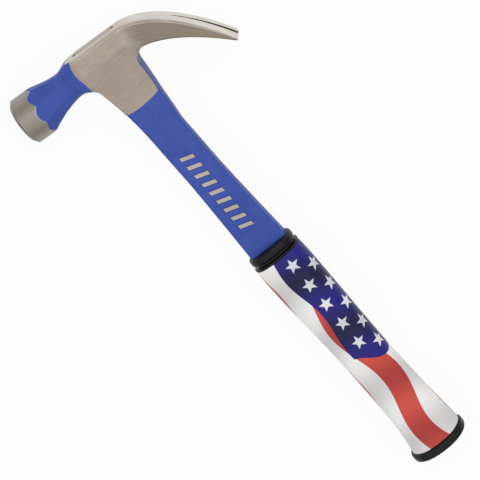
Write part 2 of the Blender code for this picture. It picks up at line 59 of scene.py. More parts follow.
MM = 0.001
# Value of a pattern's mask, in millimetres, at a place well outside the pattern
OUTSIDE = -1.0
# Half of the turn between two sides of a regular octagon, and the share of a square's half side it cuts off
OCTAGON_HALF_TURN = math.radians(22.5)
OCTAGON_CUT = 1 - math.tan(OCTAGON_HALF_TURN)
# Points of a section's rounded corner and of the run after it, and the most of a side that a corner takes
BEND_POINTS, RUN_POINTS, CORNER_SHARE = 6, 13, 0.48
# Colour inputs and colour output of a Mix node, whose number sockets have the same names
MIX_A, MIX_B, MIX_COLOUR = 6, 7, 2

Numbers = np.ndarray | float
Colour = tuple[float, float, float, float]
Faces = list[list[int]]
Sockets = dict[str | int, object]

WHITE: Colour = (1.0, 1.0, 1.0, 1.0)


class Slot(Enum):
    """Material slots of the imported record."""

    STEEL = "forged_steel"
    HICKORY = "hickory"
    VINYL = "black_vinyl"
    FILM = "printed_film"


class Mask(Enum):
    """Attributes that carry a worked-out pattern to a material."""

    BARE = "bare_steel"
    GRIND = "grind_lines_and_shade"
    SLOT = "slot_gap"
    FIELD = "field_edge"
    STAR = "star_edge"
    STRIPE = "stripe_edge"
    FOLD = "fold_shade"


# Plain maths on whole arrays

def ease(value: Numbers) -> Numbers:
    """Smooth step: 3t squared less 2t cubed, with t held between 0 and 1."""
    held = np.clip(value, 0.0, 1.0)
    return held * held * (3 - 2 * held)


def mix(start: Numbers, end: Numbers, share: Numbers) -> Numbers:
    """Value that lies a share of the way from start to end."""
    return start + (end - start) * share


def blended_max(one: np.ndarray, other: np.ndarray, width: float) -> np.ndarray:
    """Greater of two values, with a rounded change-over.

    Args:
        one: First values.
        other: Second values.
        width: Difference, to either side of none, over which the two blend.

    Returns:
        The greater value, raised by up to a quarter of the width where the two are level.
    """
    closeness = np.clip(1 - np.abs(one - other) / width, 0, 1)
    return np.maximum(one, other) + width / 4 * closeness ** 2


def signed_power(value: np.ndarray, power: np.ndarray) -> np.ndarray:
    """Size of a value raised to a power, with the value's sign kept."""
    return np.sign(value) * np.abs(value) ** power


def linear(code: str) -> Colour:
    """Turn an sRGB hex colour into linear light, by the curve of the sRGB standard.

    Args:
        code: Six hex digits after a hash sign.

    Returns:
        Red, green, blue and an alpha of 1.
    """
    parts = [int(code[at:at + 2], 16) / 255 for at in (1, 3, 5)]
    light = [part / 12.92 if part <= 0.04045 else ((part + 0.055) / 1.055) ** 2.4 for part in parts]
    return (*light, 1.0)


# Meshes

def row_origin() -> np.ndarray:
    """Find the design origin in the row frame, from the boxes of two CAD nodes.

    Returns:
        Three millimetre values. The sleeve's end sets x, and the flange of the
        grip, which is even about the handle, sets y and z.
    """
    grip_low, grip_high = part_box("grip")
    middle = (grip_low + grip_high) / 2
    sleeve_low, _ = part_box("printed_sleeve")
    end = GRIP.mouth_at + GRIP.flange_start - GRIP.sleeve_clearance
    return np.array([sleeve_low.x / MM + end, middle.y / MM, middle.z / MM])


def loft(rings: np.ndarray, wrap: bool = False) -> tuple[np.ndarray, Faces]:
    """Join rows of ring points into a surface of quads.

    Args:
        rings: Array of rings by points by 3.
        wrap: Join the last ring to the first, in place of two flat ends.

    Returns:
        Points as one list, and faces as lists of point numbers.
    """
    count, around = rings.shape[:2]
    number = np.arange(count * around).reshape(count, around)
    rows = np.vstack([number, number[:1]]) if wrap else number
    near, far = rows[:-1], rows[1:]
    quads = np.stack([near, np.roll(near, -1, 1), np.roll(far, -1, 1), far], -1).reshape(-1, 4)
    faces = quads.tolist()
    if not wrap:
        faces += [number[0][::-1].tolist(), number[-1].tolist()]
    return rings.reshape(-1, 3), faces


def solid(name: str, points: np.ndarray, faces: Faces) -> bpy.types.Object:
    """Make a mesh object with its faces outwards.

    Args:
        name: Name of the object and its mesh.
        points: Design millimetres, one row a point.
        faces: Point numbers of each face.

    Returns:
        The object, at the origin, with its place in its mesh.
    """
    mesh = bpy.data.meshes.new(name)
    mesh.from_pydata(((points + row_origin()) * MM).tolist(), [], faces)
    form = bmesh.new()
    form.from_mesh(mesh)
    bmesh.ops.recalc_face_normals(form, faces=form.faces)
    form.to_mesh(mesh)
    form.free()
    made = bpy.data.objects.new(name, mesh)
    bpy.context.scene.collection.objects.link(made)
    return made


def combine(target: bpy.types.Object, tool: bpy.types.Object, operation: str) -> None:
    """Join a tool to the target or cut it out, then drop the tool.

    Args:
        target: Object whose mesh is replaced.
        tool: Closed solid.
        operation: UNION or DIFFERENCE.
    """
    step = target.modifiers.new(tool.name, "BOOLEAN")
    step.operation, step.solver, step.object = operation, "MANIFOLD", tool
    graph = bpy.context.evaluated_depsgraph_get()
    result = bpy.data.meshes.new_from_object(target.evaluated_get(graph))
    target.modifiers.clear()
    target.data = result
    bpy.data.objects.remove(tool)


def design_points(made: bpy.types.Object) -> np.ndarray:
    """Read where an object's mesh points are.

    Args:
        made: Object at the origin.

    Returns:
        Design millimetres, one row a mesh point.
    """
    flat = np.zeros(len(made.data.vertices) * 3, np.float32)
    made.data.vertices.foreach_get("co", flat)
    return flat.reshape(-1, 3).astype(float) / MM - row_origin()


def move_points(made: bpy.types.Object, points: np.ndarray) -> None:
    """Put an object's mesh points at new places.

    Args:
        made: Object at the origin.
        points: Design millimetres, one row a mesh point.
    """
    placed = (points + row_origin()) * MM
    made.data.vertices.foreach_set("co", placed.astype(np.float32).ravel())
    made.data.update()


def relaxed(made: bpy.types.Object, rows: np.ndarray, pull: np.ndarray, rounds: int) -> np.ndarray:
    """Even out what mesh points hold, which smooths slivers and creases away.

    Args:
        made: Object whose mesh edges say which points are neighbours.
        rows: One row a mesh point: its place, or a value.
        pull: Share of the way that each row goes in a round.
        rounds: How many times it goes.

    Returns:
        The rows after each has gone, round by round, its share of the way to the mean
        of its neighbours.
    """
    flat = np.zeros(len(made.data.edges) * 2, np.int32)
    made.data.edges.foreach_get("vertices", flat)
    ends = flat.reshape(-1, 2)
    start, end = np.concatenate([ends, ends[:, ::-1]]).T
    count = np.bincount(start, minlength=len(rows))[:, None]
    for _ in range(rounds):
        total = np.stack([np.bincount(start, column[end], len(rows)) for column in rows.T], -1)
        rows = mix(rows, total / count, pull[:, None])
    return rows


def store(made: bpy.types.Object, mask: Mask, values: np.ndarray) -> None:
    """Keep one number or one vector a point as a mesh attribute.

    Args:
        made: Object that carries the pattern.
        mask: Which pattern it is.
        values: One row a mesh point.
    """
    vector = values.ndim == 2
    layer = made.data.attributes.new(mask.value, "FLOAT_VECTOR" if vector else "FLOAT", "POINT")
    layer.data.foreach_set("vector" if vector else "value", values.astype(np.float32).ravel())


def dress(made: bpy.types.Object, node: str, finish: bpy.types.Material,
          sharp_deg: float) -> None:
    """Shade a piece, give it its finish and let it stand for its CAD node.

    Args:
        made: The finished piece.
        node: CAD node that it replaces.
        finish: Its material.
        sharp_deg: Angle between faces over which an edge stays sharp.
    """
    made.data.materials.clear()
    made.data.materials.append(finish)
    made.data.shade_smooth()
    made.data.set_sharp_from_angle(angle=math.radians(sharp_deg))
    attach(made, BODY)
    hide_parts(node)
    LOG.info("%s: %d points, %d faces", made.name, len(made.data.vertices), len(made.data.polygons))


# Sections

def rounded_section(top: np.ndarray, bottom: np.ndarray, half_width: np.ndarray, cut_rise: np.ndarray,
                    cut_across: np.ndarray, radius: np.ndarray) -> np.ndarray:
    """Points round chamfered rectangles whose eight corners are rounded.

    Each corner is a quadratic curve that leaves its sides at the given radius
    from the corner, or at under half of the shorter side. Straight runs join them.

    Args:
        top: Rise of the top side of each section.
        bottom: Rise of the bottom side.
        half_width: Half the width across.
        cut_rise: How far the chamfers reach down the sides.
        cut_across: How far they reach along the top and bottom.
        radius: Rounding of the corners.

    Returns:
        Array of sections by points by rise and across.
    """
    inner = half_width - cut_across
    rises = [top, top - cut_rise, bottom + cut_rise, bottom]
    sides = [inner, half_width, half_width, inner]
    corner = np.stack([np.stack(rises + rises[::-1], -1),
                       np.stack(sides + [-side for side in sides[::-1]], -1)], -1)
    ahead = np.roll(corner, -1, 1) - corner
    length = np.linalg.norm(ahead, axis=-1, keepdims=True)
    shorter = np.minimum(length, np.roll(length, 1, 1))
    reach = np.minimum(radius[:, None, None], CORNER_SHARE * shorter)
    start = corner - np.roll(ahead / length, 1, 1) * reach
    end = corner + ahead / length * reach
    turn = np.linspace(0, 1, BEND_POINTS)[None, None, :, None]
    bend = ((1 - turn) ** 2 * start[:, :, None] + 2 * turn * (1 - turn) * corner[:, :, None]
            + turn ** 2 * end[:, :, None])
    share = np.linspace(0, 1, RUN_POINTS + 2)[None, None, 1:-1, None]
    run = mix(end[:, :, None], np.roll(start, -1, 1)[:, :, None], share)
    return np.concatenate([bend, run], 2).reshape(len(top), -1, 2)


def oval_rings(x: np.ndarray, front: np.ndarray, back: np.ndarray, half_height: np.ndarray,
               squareness: np.ndarray, count: int) -> np.ndarray:
    """Rings across the handle, each a superellipse with its own front and back.

    A point at angle t has y = front or back times cos t to the power 2/n, and
    z = half height times sin t to the same power, with n the squareness.

    Args:
        x: Place of each ring along the handle.
        front: Reach to +Y.
        back: Reach to -Y.
        half_height: Reach to +Z and -Z.
        squareness: Exponent n, where 2 is an oval.
        count: Points in a ring.

    Returns:
        Array of rings by points by 3.
    """
    angle = np.linspace(0, math.tau, count, endpoint=False)[None]
    power = 2 / squareness[:, None]
    side, up = signed_power(np.cos(angle), power), signed_power(np.sin(angle), power)
    y = np.where(side > 0, front[:, None], back[:, None]) * side
    return np.stack([np.broadcast_to(x[:, None], y.shape), y, half_height[:, None] * up], -1)


def half_round(width: float, count: int = 16) -> np.ndarray:
    """Points round half a circle of a given width, bulging to the first axis."""
    angle = np.linspace(-math.pi / 2, math.pi / 2, count)
    return width / 2 * np.stack([np.cos(angle), np.sin(angle)], -1)


def quarter_round(radius: float, count: int = 9) -> np.ndarray:
    """Run and inset of a quarter round: radius times 1 less cos t and 1 less sin t."""
    angle = np.linspace(0, math.pi / 2, count)
    return radius * np.stack([1 - np.cos(angle), 1 - np.sin(angle)], -1)


# Forging

@dataclass
class Head:
    """Striking face, turned bell, octagonal poll and cheeks of the forging."""

    cant_deg: float = 3.6
    face_reach: float = 61.3
    face_crown: float = 0.78
    face_chamfer: float = 2.2
    face_chamfer_length: float = 1.8
    bell_radius: float = 14.54
    bell_length: float = 12.5
    waist_reach: float = 29.8
    waist_above: float = 11.5
    waist_half_width: float = 9.8
    below: float = 6.2
    level_reach: float = 21.3
    top_rise: float = 14.6
    top_reach: float = 18.5
    cheek_reach: float = 13.0
    cheek_half: float = 12.0
    cheek_chamfer: float = 1.6
    stock: float = 0.6
    bell_ease: float = 1.7
    edge_radius: float = 1.5
    claw_start: float = 11.7
    claw_root_depth: float = 19.0
    step: float = 0.55
    crown_rings: int = 10
    chamfer_rings: int = 4
    bell_rings: int = 7
    # Size of the face's first ring, as a share of the face
    pole_share: float = 0.02

    @property
    def bell_back(self) -> float:
        """Reach at which the flats of the poll begin."""
        return self.face_reach - self.bell_length

    @property
    def cant(self) -> tuple[float, float]:
        """Cosine and sine of the head's cant from square to the handle."""
        return math.cos(math.radians(self.cant_deg)), math.sin(math.radians(self.cant_deg))

    def place(self, reach: np.ndarray, rise: np.ndarray, across: np.ndarray) -> np.ndarray:
        """Turn places on the head's canted axis into design points.

        Args:
            reach: Distance along the axis, to the face.
            rise: Height over it.
            across: Distance to the side of it.

        Returns:
            Array of the places by 3.
        """
        turn, lift = self.cant
        return np.stack([rise * turn + reach * lift, reach * turn - rise * lift,
                         np.broadcast_to(across, np.shape(rise))], -1)

    def local(self, points: np.ndarray) -> tuple[np.ndarray, np.ndarray]:
        """Find where design points lie on the head's canted axis.

        Args:
            points: One row a point.

        Returns:
            Their reach along the axis and their rise over it.
        """
        turn, lift = self.cant
        x, y = points[:, 0], points[:, 1]
        return y * turn + x * lift, x * turn - y * lift

    def belling(self, reach: Numbers, start: float) -> Numbers:
        """Growth from a start, at 0, to the bell, at 1: a power of the share of the way."""
        return np.maximum((reach - start) / (self.bell_back - start), 0) ** self.bell_ease

    def top(self, reach: np.ndarray) -> np.ndarray:
        """Height of the top flat over the axis.

        Args:
            reach: Places along the axis.

        Returns:
            Heights that grow from the waist to the bell, and by a smooth step to the cheeks.
        """
        grown = (self.bell_radius - self.waist_above) * self.belling(reach, self.waist_reach)
        to_cheek = ease((self.waist_reach - reach) / (self.waist_reach - self.top_reach))
        return self.waist_above + grown + (self.top_rise - self.waist_above) * to_cheek

    def bottom(self, reach: np.ndarray) -> np.ndarray:
        """Depth of the bottom flat under the axis.

        Args:
            reach: Places along the axis.

        Returns:
            Depths that grow to the bell, and run evenly to the root of the claw.
        """
        to_claw = np.clip((self.level_reach - reach) / (self.level_reach + self.claw_start), 0, 1)
        level = mix(self.below, self.claw_root_depth - self.top_rise, to_claw)
        return level + (self.bell_radius - self.below) * self.belling(reach, self.level_reach)

    def squared(self, reach: Numbers) -> Numbers:
        """Smooth step from the octagon of the waist to the square of the cheeks."""
        return ease((self.waist_reach - reach) / (self.waist_reach - self.cheek_reach))

    def half_width(self, reach: Numbers) -> Numbers:
        """Half width of the raw poll and cheeks.

        Args:
            reach: Places along the axis.

        Returns:
            Half widths that grow from the waist to the bell, and by a smooth step to the cheeks.
        """
        grown = (self.bell_radius - self.waist_half_width) * self.belling(reach, self.waist_reach)
        raw_cheek = self.cheek_half + self.stock
        return self.waist_half_width + grown + (raw_cheek - self.waist_half_width) * self.squared(reach)

    def cuts(self, reach: np.ndarray) -> tuple[np.ndarray, np.ndarray]:
        """Sizes of the chamfers between the flats.

        Args:
            reach: Places along the axis.

        Returns:
            How far the chamfers reach down the sides, and how far along the top and the
            bottom: an octagon's, and by a smooth step the cheeks' own.
        """
        squared = self.squared(reach)
        rise = OCTAGON_CUT * (self.top(reach) + self.bottom(reach)) / 2
        across = OCTAGON_CUT * self.half_width(reach)
        return mix(rise, self.cheek_chamfer, squared), mix(across, self.cheek_chamfer + self.stock, squared)

    def turned_gap(self, reach: np.ndarray, rise: np.ndarray, across: np.ndarray) -> np.ndarray:
        """How far the raw poll lies under the bell's turned radius, in the direction of each point.

        Args:
            reach: Place along the head's axis.
            rise: Height over the axis.
            across: Distance to the side of it.

        Returns:
            Millimetres, under 0 where turning cuts the poll: the greatest of the gaps to
            a flat, a side and the chamfer between them, blended as the corners are rounded.
        """
        size = np.hypot(rise, across)
        up, out = np.abs(rise) / size, np.abs(across) / size
        level, half = np.where(rise > 0, self.top(reach), self.bottom(reach)), self.half_width(reach)
        cut_rise, cut_across = self.cuts(reach)
        # One over the distance at which a point's direction meets a flat or a side, and a chamfer
        flat = np.maximum(up / level, out / half)
        chamfer = (up * cut_across + out * cut_rise) / ((level - cut_rise) * cut_across + half * cut_rise)
        flat_gap, chamfer_gap = (self.bell_radius * (self.bell_radius * near - 1) for near in (flat, chamfer))
        # A quarter of this is how deep the rounding takes an octagon's corner off
        rounding = 2 * self.edge_radius * math.sin(OCTAGON_HALF_TURN)
        return blended_max(flat_gap, chamfer_gap, rounding)

    def poll_rings(self) -> np.ndarray:
        """Rings from the bell to the claw, with corners outside the bell's radius turned off.

        Returns:
            Array of rings by points by 3. In front of the waist a point over the
            turned radius is drawn in to it, which leaves the scallops of the bell.
        """
        count = int((self.bell_back + self.claw_start) / self.step)
        reach = np.linspace(self.bell_back, -self.claw_start, count)[:-1]
        ring = rounded_section(self.top(reach), -self.bottom(reach), self.half_width(reach),
                               *self.cuts(reach), np.full(len(reach), self.edge_radius))
        turned = np.where(reach > self.waist_reach, self.bell_radius, np.inf)[:, None]
        ring = ring * np.minimum(1, turned / np.linalg.norm(ring, axis=-1))[..., None]
        return self.place(np.broadcast_to(reach[:, None], ring.shape[:2]), ring[..., 0], ring[..., 1])

    def face_rings(self, bell_ring: np.ndarray) -> np.ndarray:
        """Rings of the crowned face, its chamfer and the bell, each a circle.

        Args:
            bell_ring: First ring of the poll, whose points set the directions.

        Returns:
            Array of rings by points by 3. The crown falls with the square of the radius.
        """
        rim = self.bell_radius - self.face_chamfer
        share = np.linspace(self.pole_share, 1, self.crown_rings)
        chamfer = np.linspace(0, 1, self.chamfer_rings + 1)[1:]
        side = np.linspace(0, 1, self.bell_rings + 2)[1:-1]
        edge = self.face_reach - self.face_chamfer_length
        reach = np.concatenate([self.face_reach + self.face_crown * (1 - share ** 2),
                                mix(self.face_reach, edge, chamfer), mix(edge, self.bell_back, side)])
        radius = np.concatenate([rim * share, mix(rim, self.bell_radius, chamfer),
                                 np.full(len(side), self.bell_radius)])
        _, rise = self.local(bell_ring)
        outline = np.stack([rise, bell_ring[:, 2]], -1)
        outline = outline / np.linalg.norm(outline, axis=-1, keepdims=True)
        flat = radius[:, None, None] * outline[None]
        return self.place(np.broadcast_to(reach[:, None], flat.shape[:2]), flat[..., 0], flat[..., 1])


@dataclass
class Claw:
    """Curved claw: its back is a parabola and its depth falls evenly along that curve."""

    head: Head
    bend_radius: float = 36.9
    reach: float = 69.4
    tip_depth: float = 1.2
    waist_at: float = 10.0
    waist_half: float = 11.7
    tip_half: float = 13.0
    crown: float = 0.7
    chamfer: float = 1.0
    tip_chamfer: float = 0.3
    root_radius: float = 2.4
    tip_radius: float = 0.4
    tip_round: float = 2.2
    slot_length: float = 39.0
    slot_tip_width: float = 5.2
    slot_root_width: float = 0.9
    overrun: float = 15.0
    step: float = 0.7
    tip_rings: int = 9
    # Places at which a curve is tabulated, to read it the other way round or to find its lowest
    samples: int = 2000

    @property
    def span(self) -> float:
        """Run along the axis from the start of the bend to the tips."""
        return self.reach - self.head.claw_start

    def length(self, run: Numbers) -> Numbers:
        """Length along the back over a run: the arc of a parabola."""
        slope = run / self.bend_radius
        return self.bend_radius / 2 * (slope * np.hypot(1, slope) + np.arcsinh(slope))

    def run_at(self, along: Numbers) -> Numbers:
        """Run at a length along the back, read off the arc length the other way round."""
        run = np.linspace(0, self.span, self.samples)
        return np.interp(along, self.length(run), run)

    def back(self, run: Numbers) -> tuple[Numbers, Numbers, Numbers, Numbers]:
        """Places and directions on the parabola of the back.

        Args:
            run: Distances along the axis from the start of the bend.

        Returns:
            Reach and rise of the back, then reach and rise of its outward normal.
        """
        slope = run / self.bend_radius
        size = np.hypot(1, slope)
        return -self.head.claw_start - run, self.head.top_rise - run * slope / 2, -slope / size, 1 / size

    def depth(self, along: np.ndarray) -> np.ndarray:
        """Depth square to the back, falling evenly with length."""
        return mix(self.head.claw_root_depth, self.tip_depth, along / self.length(self.span))

    def chamfer_at(self, along: np.ndarray) -> np.ndarray:
        """Chamfer of the long edges: a smooth step from the cheeks' to the waist's, then even to the tips."""
        root = mix(self.head.cheek_chamfer, self.chamfer, ease(along / self.waist_at))
        return mix(root, self.tip_chamfer, along / self.length(self.span))

    def half_at(self, along: np.ndarray) -> np.ndarray:
        """Half width of the raw claw.

        Args:
            along: Lengths along the back.

        Returns:
            Half widths: a smooth step from the cheeks' to the waist's, then even to the tips.
        """
        waist = mix(self.head.cheek_half + self.head.stock, self.waist_half, ease(along / self.waist_at))
        widening = (along - self.waist_at) / (self.length(self.span) - self.waist_at)
        return waist + (self.tip_half - self.waist_half) * np.maximum(widening, 0)

    def rings(self) -> np.ndarray:
        """Rings of the claw, square to its back.

        Returns:
            Array of rings by points by 3. The back is crowned: it rises with 1 less
            the square of the share across, and the crown fades to the underside. The
            outer corner of each tip is a quarter circle.
        """
        total = self.length(self.span)
        straight = total - self.tip_round
        corner = self.tip_round * np.sin(np.linspace(0, math.pi / 2, self.tip_rings))
        along = np.concatenate([np.linspace(0, straight, int(straight / self.step)), straight + corner[1:]])
        reach, rise, out_reach, out_rise = (part[:, None] for part in self.back(self.run_at(along)))
        to_waist = ease(along / self.waist_at)
        past = np.clip(along - straight, 0, self.tip_round)
        half = self.half_at(along) - self.tip_round + np.sqrt(self.tip_round ** 2 - past ** 2)
        cut = self.chamfer_at(along)
        cut_across = cut + self.head.stock * (1 - to_waist)
        depth = self.depth(along)
        root = mix(self.head.edge_radius, self.root_radius, to_waist)
        radius = mix(root, self.tip_radius, along / total)
        ring = rounded_section(np.zeros_like(along), -depth, half, cut, cut_across, radius)
        lift, across = ring[..., 0], ring[..., 1]
        lift = lift + (self.crown * to_waist[:, None] * (1 - (across / half[:, None]) ** 2)
                       * (1 + lift / depth[:, None]))
        return self.head.place(reach + out_reach * lift, rise + out_rise * lift, across)

    def throat_touch(self, side: float, radius: float) -> tuple[float, float]:
        """Where a round throat that leaves the neck's back touches the claw's underside.

        Args:
            side: Distance of the neck's back from the centre line.
            radius: Radius of the throat.

        Returns:
            The level along the handle of the top of the throat's circle, and how far
            the touching point lies past the neck's back. A circle that is clear of the
            underside by its radius touches it, so over each place of the underside the
            centre lies lower by the leg of a right triangle, and the lowest one holds.
        """
        along = np.linspace(0, self.length(self.span) / 2, self.samples)
        reach, rise, out_reach, out_rise = self.back(self.run_at(along))
        depth = self.depth(along)
        under = self.head.place(reach - out_reach * depth, rise - out_rise * depth, np.zeros_like(depth))
        off = -under[:, 1] - side - radius
        under, off = under[np.abs(off) < radius], off[np.abs(off) < radius]
        centre = under[:, 0] - np.sqrt(radius ** 2 - off ** 2)
        lowest = int(np.argmin(centre))
        return float(centre[lowest] + radius), float(off[lowest] + radius)

    def slot_line(self) -> tuple[np.ndarray, np.ndarray, float]:
        """Straight line along the nail slot, from its root to the tips.

        Returns:
            The root and the unit direction, both as reach and rise, and the length.
        """
        root_run = self.run_at(self.length(self.span) - self.slot_length)
        root, tip = np.array(self.back(root_run)[:2]), np.array(self.back(self.span)[:2])
        chord = float(np.linalg.norm(tip - root))
        return root, (tip - root) / chord, chord

    def slot_half(self, run: Numbers) -> Numbers:
        """Half width of the nail slot, growing evenly with the run from its root."""
        _, _, chord = self.slot_line()
        return mix(self.slot_root_width, self.slot_tip_width, run / chord) / 2

    def slot_gap(self, points: np.ndarray) -> np.ndarray:
        """How far points lie from the walls of the nail slot.

        Args:
            points: Design points.

        Returns:
            Millimetres to a wall across, or along to the root where that is more.
        """
        root, way, _ = self.slot_line()
        run = (np.stack(self.head.local(points), -1) - root) @ way
        return np.maximum(np.abs(points[:, 2]) - self.slot_half(run), -run)

    def slot_tool(self) -> bpy.types.Object:
        """Solid that cuts the nail slot.

        Returns:
            A wedge, round at its root, that runs out past the tips.
        """
        root, way, chord = self.slot_line()
        end = chord + self.overrun
        bend = half_round(self.slot_root_width)
        run = np.concatenate([[end] * 2, -bend[:, 0]])
        across = np.concatenate([[self.slot_half(end), -self.slot_half(end)], bend[:, 1]])
        lift = np.array([-self.head.claw_root_depth, self.overrun])[:, None]
        points = self.head.place(root[0] + way[0] * run + way[1] * lift,
                                 root[1] + way[1] * run - way[0] * lift, across[None])
        return solid("slot_tool", *loft(points))


@dataclass
class Shank:
    """Neck, shank and tang, with the throats that curve out to the head."""

    head: Head
    claw: Claw
    mouth_at: float = 143.0
    tang_end: float = 297.0
    neck_top: float = 13.0
    neck_front: float = 13.7
    neck_back: float = 14.9
    neck_stock: float = 1.6
    neck_length: float = 52.0
    stock_ease: float = 4.0
    ground_end: float = 31.0
    taper_rise: float = 3.0
    thin_end: float = 45.0
    thin_ease: float = 1.6
    throat_radius: float = 7.5
    root_rise: float = 5.0
    root_half: float = 11.0
    poll_under: float = 6.5
    claw_under: float = 9.0
    half_width: float = 10.85
    half_thickness: float = 5.75
    mouth_half: float = 12.85
    widening_length: float = 57.0
    tang_half: float = 8.5
    tang_half_thickness: float = 3.5
    shoulder_length: float = 24.0
    tang_chamfer: float = 1.5
    front_ease: float = 2.0
    back_ease: float = 0.85
    widening_ease: float = 1.2
    neck_squareness: float = 10.0
    squareness: float = 7.0
    step: float = 0.6
    around: int = 128
    throat_rings: int = 16
    shoulder_rings: int = 12

    def thinning(self, down: np.ndarray) -> np.ndarray:
        """Share of the way from the cheeks' thickness to the shank's: 1 less a falling power."""
        left = np.clip((self.thin_end - down) / (self.thin_end + self.taper_rise), 0, 1)
        return 1 - left ** self.thin_ease

    def ground_half(self, down: np.ndarray) -> np.ndarray:
        """Half thickness between the ground cheeks, and on down the neck and the shank."""
        return mix(self.head.cheek_half, self.half_thickness, self.thinning(down))

    def section(self, down: np.ndarray) -> tuple[np.ndarray, np.ndarray, np.ndarray, np.ndarray]:
        """Sizes of the raw neck, shank and tang, without their throats.

        Args:
            down: Distances down the handle from the head's axis.

        Returns:
            Front, back, half thickness and squareness. Powers of the share of the way
            lead from the neck to the shank and on to the mouth, and a smooth step to the tang.
        """
        to_neck = np.clip((self.neck_length - down) / (self.neck_length - self.neck_top), 0, 1)
        to_mouth = np.clip((down - self.mouth_at) / self.widening_length + 1, 0, 1)
        to_tang = ease((down - self.mouth_at) / self.shoulder_length)
        half = (self.half_width + (self.mouth_half - self.half_width) * to_mouth ** self.widening_ease
                + (self.tang_half - self.mouth_half) * to_tang)
        front = half + (self.neck_front - self.half_width) * to_neck ** self.front_ease
        back = half + (self.neck_back - self.half_width) * to_neck ** self.back_ease
        height = (self.ground_half(down) + (self.tang_half_thickness - self.half_thickness) * to_tang
                  + self.neck_stock * (1 - np.clip(down / self.ground_end, 0, 1) ** self.stock_ease))
        return front, back, height, mix(self.neck_squareness, self.squareness, self.thinning(down))

    def flare(self, x: np.ndarray, level: float, most: float) -> np.ndarray:
        """Extra half width of a throat: a circle that tops out at a level, held under a most."""
        rise = np.clip(x - (level - self.throat_radius), 0, self.throat_radius)
        return np.minimum(self.throat_radius - np.sqrt(self.throat_radius ** 2 - rise ** 2), most)

    def throat_half(self, y: np.ndarray) -> np.ndarray:
        """Most half thickness of the throats.

        Args:
            y: Distances from the centre line, to the face.

        Returns:
            Smooth steps from the raw neck's half thickness to those under the poll and the claw.
        """
        to_poll = ease((y - self.neck_front) / self.throat_radius)
        to_claw = ease((-y - self.neck_back) / self.throat_radius)
        raw = self.head.cheek_half + self.neck_stock
        return mix(mix(raw, self.poll_under, to_poll), self.claw_under, to_claw)

    def throat_ends(self) -> tuple[tuple[float, float], tuple[float, float]]:
        """Outer ends of the two throats.

        Returns:
            Level along the handle and reach past the neck, under the poll and then under the claw.
        """
        reach = np.array([self.neck_front + self.throat_radius])
        level = float(self.head.place(reach, -self.head.bottom(reach), np.zeros(1))[0, 0])
        return (level, self.throat_radius), self.claw.throat_touch(self.neck_back, self.throat_radius)

    def corner_share(self, points: np.ndarray, size: float) -> np.ndarray:
        """How near points are to a throat's outer end.

        Args:
            points: Design points.
            size: Distance over which nearness falls.

        Returns:
            1 at the end, and a smooth fall to 0 at the distance.
        """
        (front_level, front_most), (back_level, back_most) = self.throat_ends()
        front = np.hypot(points[:, 0] - front_level, points[:, 1] - self.neck_front - front_most)
        back = np.hypot(points[:, 0] - back_level, points[:, 1] + self.neck_back + back_most)
        return ease(1 - np.minimum(front, back) / size)

    def rings(self) -> np.ndarray:
        """Rings from inside the head to the tip of the tang.

        Returns:
            Array of rings by points by 3, with the thickness of the throats drawn in
            towards their outer ends.
        """
        (front_level, front_most), (back_level, back_most) = self.throat_ends()
        level = max(front_level, back_level)
        down = np.concatenate([
            [-self.root_rise],
            self.throat_radius * (1 - np.cos(np.linspace(0, math.pi / 2, self.throat_rings))) - level,
            np.arange(self.throat_radius - level, self.mouth_at, self.step)[1:],
            np.linspace(self.mouth_at, self.mouth_at + self.shoulder_length, self.shoulder_rings),
            [self.tang_end - self.tang_chamfer, self.tang_end]])
        front, back, height, square = self.section(down)
        front = front + self.flare(-down, front_level, front_most)
        back = back + self.flare(-down, back_level, back_most)
        shrink = np.zeros_like(down)
        shrink[-1] = self.tang_chamfer
        height[0] = self.root_half
        made = oval_rings(-down, front - shrink, back - shrink, height - shrink, square, self.around)
        most = self.throat_half(made[..., 1])
        made[..., 2] = np.clip(made[..., 2], -most, most)
        return made


@dataclass
class RaisedBars:
    """Row of plain slanted bars forged proud of the shank and ground bright."""

    first: float = 71.0
    pitch: float = 6.6
    count: int = 9
    width: float = 2.8
    height: float = 8.4
    middle: float = 1.0
    slant: float = 0.32
    proud: float = 0.7
    chamfer: float = 0.25
    sunk: float = 1.5

    def tool(self, surface: float) -> bpy.types.Object:
        """Solids of all the bars.

        Args:
            surface: Height of the shank's side.

        Returns:
            One object with a closed bar at each place. A bar is a slanted outline
            carried up to its top, where it draws in by the chamfer.
        """
        low, top = surface - self.sunk, surface + self.proud
        levels = np.array([[low, 0.0], [top - self.chamfer, 0.0], [top, self.chamfer]])
        corners = np.array([[-1, -1], [1, -1], [1, 1], [-1, 1]])
        half = np.array([self.width, self.height]) / 2 - levels[:, 1, None]
        plan = corners[None] * half[:, None]
        points, faces = [], []
        for place in range(self.count):
            x = -self.first - place * self.pitch + plan[..., 0] + self.slant * plan[..., 1]
            ring = np.stack([x, plan[..., 1] + self.middle, np.broadcast_to(levels[:, :1], x.shape)], -1)
            corner_points, corner_faces = loft(ring)
            faces += [[corner + len(corner_points) * place for corner in face] for face in corner_faces]
            points.append(corner_points)
        return solid("raised_bars", np.concatenate(points), faces)


